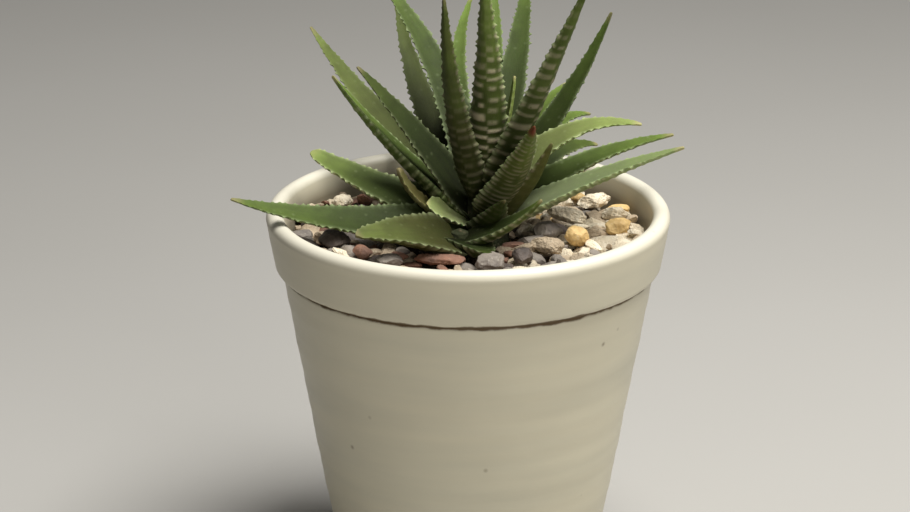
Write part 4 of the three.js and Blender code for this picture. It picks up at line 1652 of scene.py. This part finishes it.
    def stone_rows(self, pebble: Pebble, ball: Rows) -> Rows:
        """Shapes and turns one stone.

        Args:
            pebble: The stone.
            ball: The points of a ball.

        Returns:
            Its points in millimetres.
        """
        finish = pebble.kind.value
        cuts = finish.cuts + self.random.randint(-self.cut_draw, self.cut_draw)
        shaped = self.chipped(ball, cuts, self.cut_depths)
        shaped *= (self.swelling + finish.dents * self.dents(ball, self.dent_scale))[:, None]
        long, flat = self.random.uniform(*finish.stretch), self.random.uniform(*finish.flatness)
        shaped *= np.array([long, self.random.uniform(*self.narrowing), flat]) * pebble.radius
        turn = self.random.uniform(0, 2 * math.pi)
        tilt = self.random.gauss(0, self.tilt)
        along, across, level, drop = math.cos(turn), math.sin(turn), math.cos(tilt), math.sin(tilt)
        tilted = shaped @ np.array([[level, 0, -drop], [0, 1, 0], [drop, 0, level]])
        turned = tilted @ np.array([[along, across, 0], [-across, along, 0], [0, 0, 1]])
        return turned + np.array(pebble.place)

    def build_small(self, finishes: dict[Stone, bpy.types.Material]) -> None:
        """Builds the small stones, one piece for each kind.

        Args:
            finishes: The finished stones.
        """
        ball, triangles = self.ball(self.ball_detail)
        triangles = np.array(triangles)
        laid = self.lay()
        LOG.info("dressing: %d small stones", len(laid))
        for kind in Stone:
            vertices, faces, seeds = [], [], []
            for pebble in (p for p in laid if p.kind is kind):
                faces.append(triangles + len(vertices) * len(ball))
                vertices.append(self.stone_rows(pebble, ball))
                seed = (self.random.uniform(-1, 1), self.random.random(), 0)
                seeds.append(np.tile(seed, (len(ball), 1)))
            if vertices:
                name = f"pebbles_{kind.name.lower()}"
                marks = {"stone_seed": np.vstack(seeds)}
                joined, triples = np.vstack(vertices), np.vstack(faces).tolist()
                piece = make_piece(name, joined, triples, finishes[kind], marks, self.crisp)
        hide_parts("gravel_bed")

    def build_grit(self, effects: Effects) -> None:
        """Builds the uneven grit that shows between the stones.

        Args:
            effects: The shared effects.
        """
        rings, sides = self.grit_rings, self.grit_sides
        reach = self.pot.inner_radius(self.surface) - self.grit_gap
        level = self.surface - self.grit_depth
        vertices = [(0.0, 0.0, level)]
        for ring in range(1, rings + 1):
            for side in range(sides):
                angle = 2 * math.pi * side / sides
                x = reach * ring / rings * math.cos(angle)
                y = reach * ring / rings * math.sin(angle)
                height = rough_ground(Vector((x, y, 0)) * self.grit_lump_scale)
                vertices.append((x, y, level + self.grit_lump * height))
        faces: list[tuple[int, ...]] = [(0, 1 + i, 1 + (i + 1) % sides) for i in range(sides)]
        for ring in range(rings - 1):
            a, b = 1 + ring * sides, 1 + (ring + 1) * sides
            faces += [(a + i, b + i, b + (i + 1) % sides, a + (i + 1) % sides) for i in range(sides)]
        grit = Grit("grit", srgb(96, 80, 62), srgb(58, 47, 37), 300.0)
        piece = make_piece("grit", np.array(vertices), faces, grit.build(effects))

    def rounded(self, node: bpy.types.Object) -> tuple[Rows, list[tuple[int, ...]]]:
        """Divides a plain solid finely and rounds it off.

        Args:
            node: The solid.

        Returns:
            Its points in millimetres and its faces.
        """
        made = bmesh.new()
        made.from_mesh(node.data)
        bmesh.ops.remove_doubles(made, verts=made.verts, dist=0.01 * MM)
        axes = {"use_axis_x": True, "use_axis_y": True, "use_axis_z": True}
        for factor in self.rounding:
            bmesh.ops.subdivide_edges(made, edges=made.edges, cuts=1, use_grid_fill=True, smooth=0.0)
            bmesh.ops.smooth_vert(made, verts=made.verts, factor=factor, **axes)
            bmesh.ops.triangulate(made, faces=made.faces)
        points, faces = mesh_arrays(made)
        return points / MM, faces

    def build_features(
        self, nodes: dict[str, bpy.types.Object], finishes: dict[Stone, bpy.types.Material]
    ) -> None:
        """Builds the larger stones from their solids: rounded, chipped and dented.

        Args:
            nodes: The model's solids.
            finishes: The finished stones.
        """
        for name, kind in self.feature_kinds.items():
            finish = kind.value
            points, faces = self.rounded(nodes[name])
            middle = (points.min(axis=0) + points.max(axis=0)) / 2
            shaped = self.chipped(points - middle, finish.cuts, self.feature_cut_depths)
            dents = self.feature_dents * finish.dents * self.dents(points, self.feature_dent_scale)
            shaped = middle + shaped * (self.feature_swelling + dents)[:, None]
            seed = np.tile((self.random.uniform(-1, 1), self.feature_lightness, 0), (len(points), 1))
            marks = {"stone_seed": seed}
            piece = make_piece(f"{name}_fine", shaped, faces, finishes[kind], marks, self.crisp)
            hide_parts(name)

    def build(self, nodes: dict[str, bpy.types.Object], effects: Effects) -> None:
        """Builds the whole dressing.

        Args:
            nodes: The model's solids.
            effects: The shared effects.
        """
        finishes = {kind: kind.value.build(effects) for kind in Stone}
        self.build_grit(effects)
        self.build_small(finishes)
        self.build_features(nodes, finishes)


# ---- the studio --------------------------------------------------------------------------------


@dataclass(frozen=True)
class Lamp:
    """A soft square lamp. Its place and size are metres, and its power is watts."""

    name: str
    place: Triple
    size: float
    power: float
    tint: Colour
    aim: ClassVar[Triple] = (0.0, 0.0, 0.09)

    def build(self) -> None:
        """Hangs the lamp so that it faces the plant."""
        data = bpy.data.lights.new(self.name, "AREA")
        data.shape = "SQUARE"
        data.size = self.size
        data.energy = self.power
        data.color = self.tint
        lamp = bpy.data.objects.new(self.name, data)
        lamp.location = self.place
        aim = Vector(self.aim) - Vector(self.place)
        lamp.rotation_euler = aim.to_track_quat("-Z", "Y").to_euler()
        bpy.context.scene.collection.objects.link(lamp)


@dataclass
class Studio:
    """The pale floor, the soft lights and the camera at the photograph's angle, in metres."""

    elevation: float = 19.24
    distance: float = 0.800
    lens: float = 134.05
    sensor: float = 36.0
    nearest: float = 0.01
    camera_shift: float = -0.00309
    aim_height: float = 0.08261
    floor_reach: float = 4.0
    floor_tones: tuple[Colour, Colour] = (srgb(178, 176, 171), srgb(184, 182, 178))
    sky: Colour = (0.96, 0.95, 0.93)
    sky_strength: float = 0.1
    lamps: tuple[Lamp, ...] = (
        Lamp("key", place=(0.22, -0.09, 0.77), size=0.42, power=8.9, tint=(1.0, 0.985, 0.95)),
        Lamp("fill", place=(0.44, -0.89, 0.34), size=0.5, power=3.1, tint=(1.0, 0.97, 0.92)),
    )

    def build_floor(self) -> None:
        """A wide, flat, pale floor."""
        material, sheet, shader = new_material("paper")
        spot = sheet.add("TexCoord").outputs["Object"]
        grain = sheet.add("TexNoise", {"Vector": spot, "Scale": 6.0, "Detail": 2.0}).outputs[0]
        sheet.feed(shader.inputs["Base Color"], sheet.mix(grain, *self.floor_tones))
        shader.inputs["Roughness"].default_value = 0.9
        mesh = bpy.data.meshes.new("floor")
        wide = self.floor_reach
        corners = [(-wide, -wide, 0), (wide, -wide, 0), (wide, wide, 0), (-wide, wide, 0)]
        mesh.from_pydata(corners, [], [(0, 1, 2, 3)])
        mesh.materials.append(material)
        floor = bpy.data.objects.new("floor", mesh)
        bpy.context.scene.collection.objects.link(floor)

    def build_camera(self) -> None:
        """The camera, level with the photograph's view of the rim."""
        data = bpy.data.cameras.new("camera")
        data.sensor_width = self.sensor
        data.lens = self.lens
        data.clip_start = self.nearest
        camera = bpy.data.objects.new("camera", data)
        angle = math.radians(self.elevation)
        back = Vector((0, -math.cos(angle), math.sin(angle)))
        camera.location = Vector((self.camera_shift, 0, self.aim_height)) + back * self.distance
        camera.rotation_euler = (math.pi / 2 - angle, 0, 0)
        bpy.context.scene.collection.objects.link(camera)
        bpy.context.scene.camera = camera

    def build(self) -> None:
        """Builds floor, lamps, sky and camera."""
        self.build_floor()
        for lamp in self.lamps:
            lamp.build()
        world = bpy.data.worlds.new("sky")
        world.use_nodes = True
        background = world.node_tree.nodes["Background"]
        background.inputs["Color"].default_value = (*self.sky, 1.0)
        background.inputs["Strength"].default_value = self.sky_strength
        bpy.context.scene.world = world
        bpy.context.scene.view_settings.view_transform = "Standard"
        self.build_camera()


# ---- the whole plant ---------------------------------------------------------------------------


def dress_nodes(nodes: dict[str, bpy.types.Object], finish: Grit, effects: Effects, *names: str) -> None:
    """Gives solids that stay in view their finish.

    Args:
        nodes: The model's solids.
        finish: The finish.
        effects: The shared effects.
        *names: The solids' names.
    """
    material = finish.build(effects)
    for name in names:
        for slot in nodes[name].material_slots:
            slot.material = material
        LOG.info("%s: %s", name, material.name)


def main() -> None:
    """Loads the model and builds every piece in order."""
    logging.basicConfig(level=logging.INFO, format="%(name)s: %(message)s")
    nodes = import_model()["nodes"]
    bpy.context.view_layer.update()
    effects = Effects()
    pot = Pot()
    pot.build(effects)
    rosette = Rosette()
    rosette.build(effects)
    Gravel(pot, rosette).build(nodes, effects)
    dress_nodes(nodes, Grit("soil", srgb(58, 46, 34), srgb(38, 30, 23), 180.0), effects, "soil")
    bark = Grit("stem", srgb(62, 68, 36), srgb(42, 46, 24), 240.0)
    dress_nodes(nodes, bark, effects, "stem", "offset_stem")
    Studio().build()


if __name__ == "__main__":
    main()
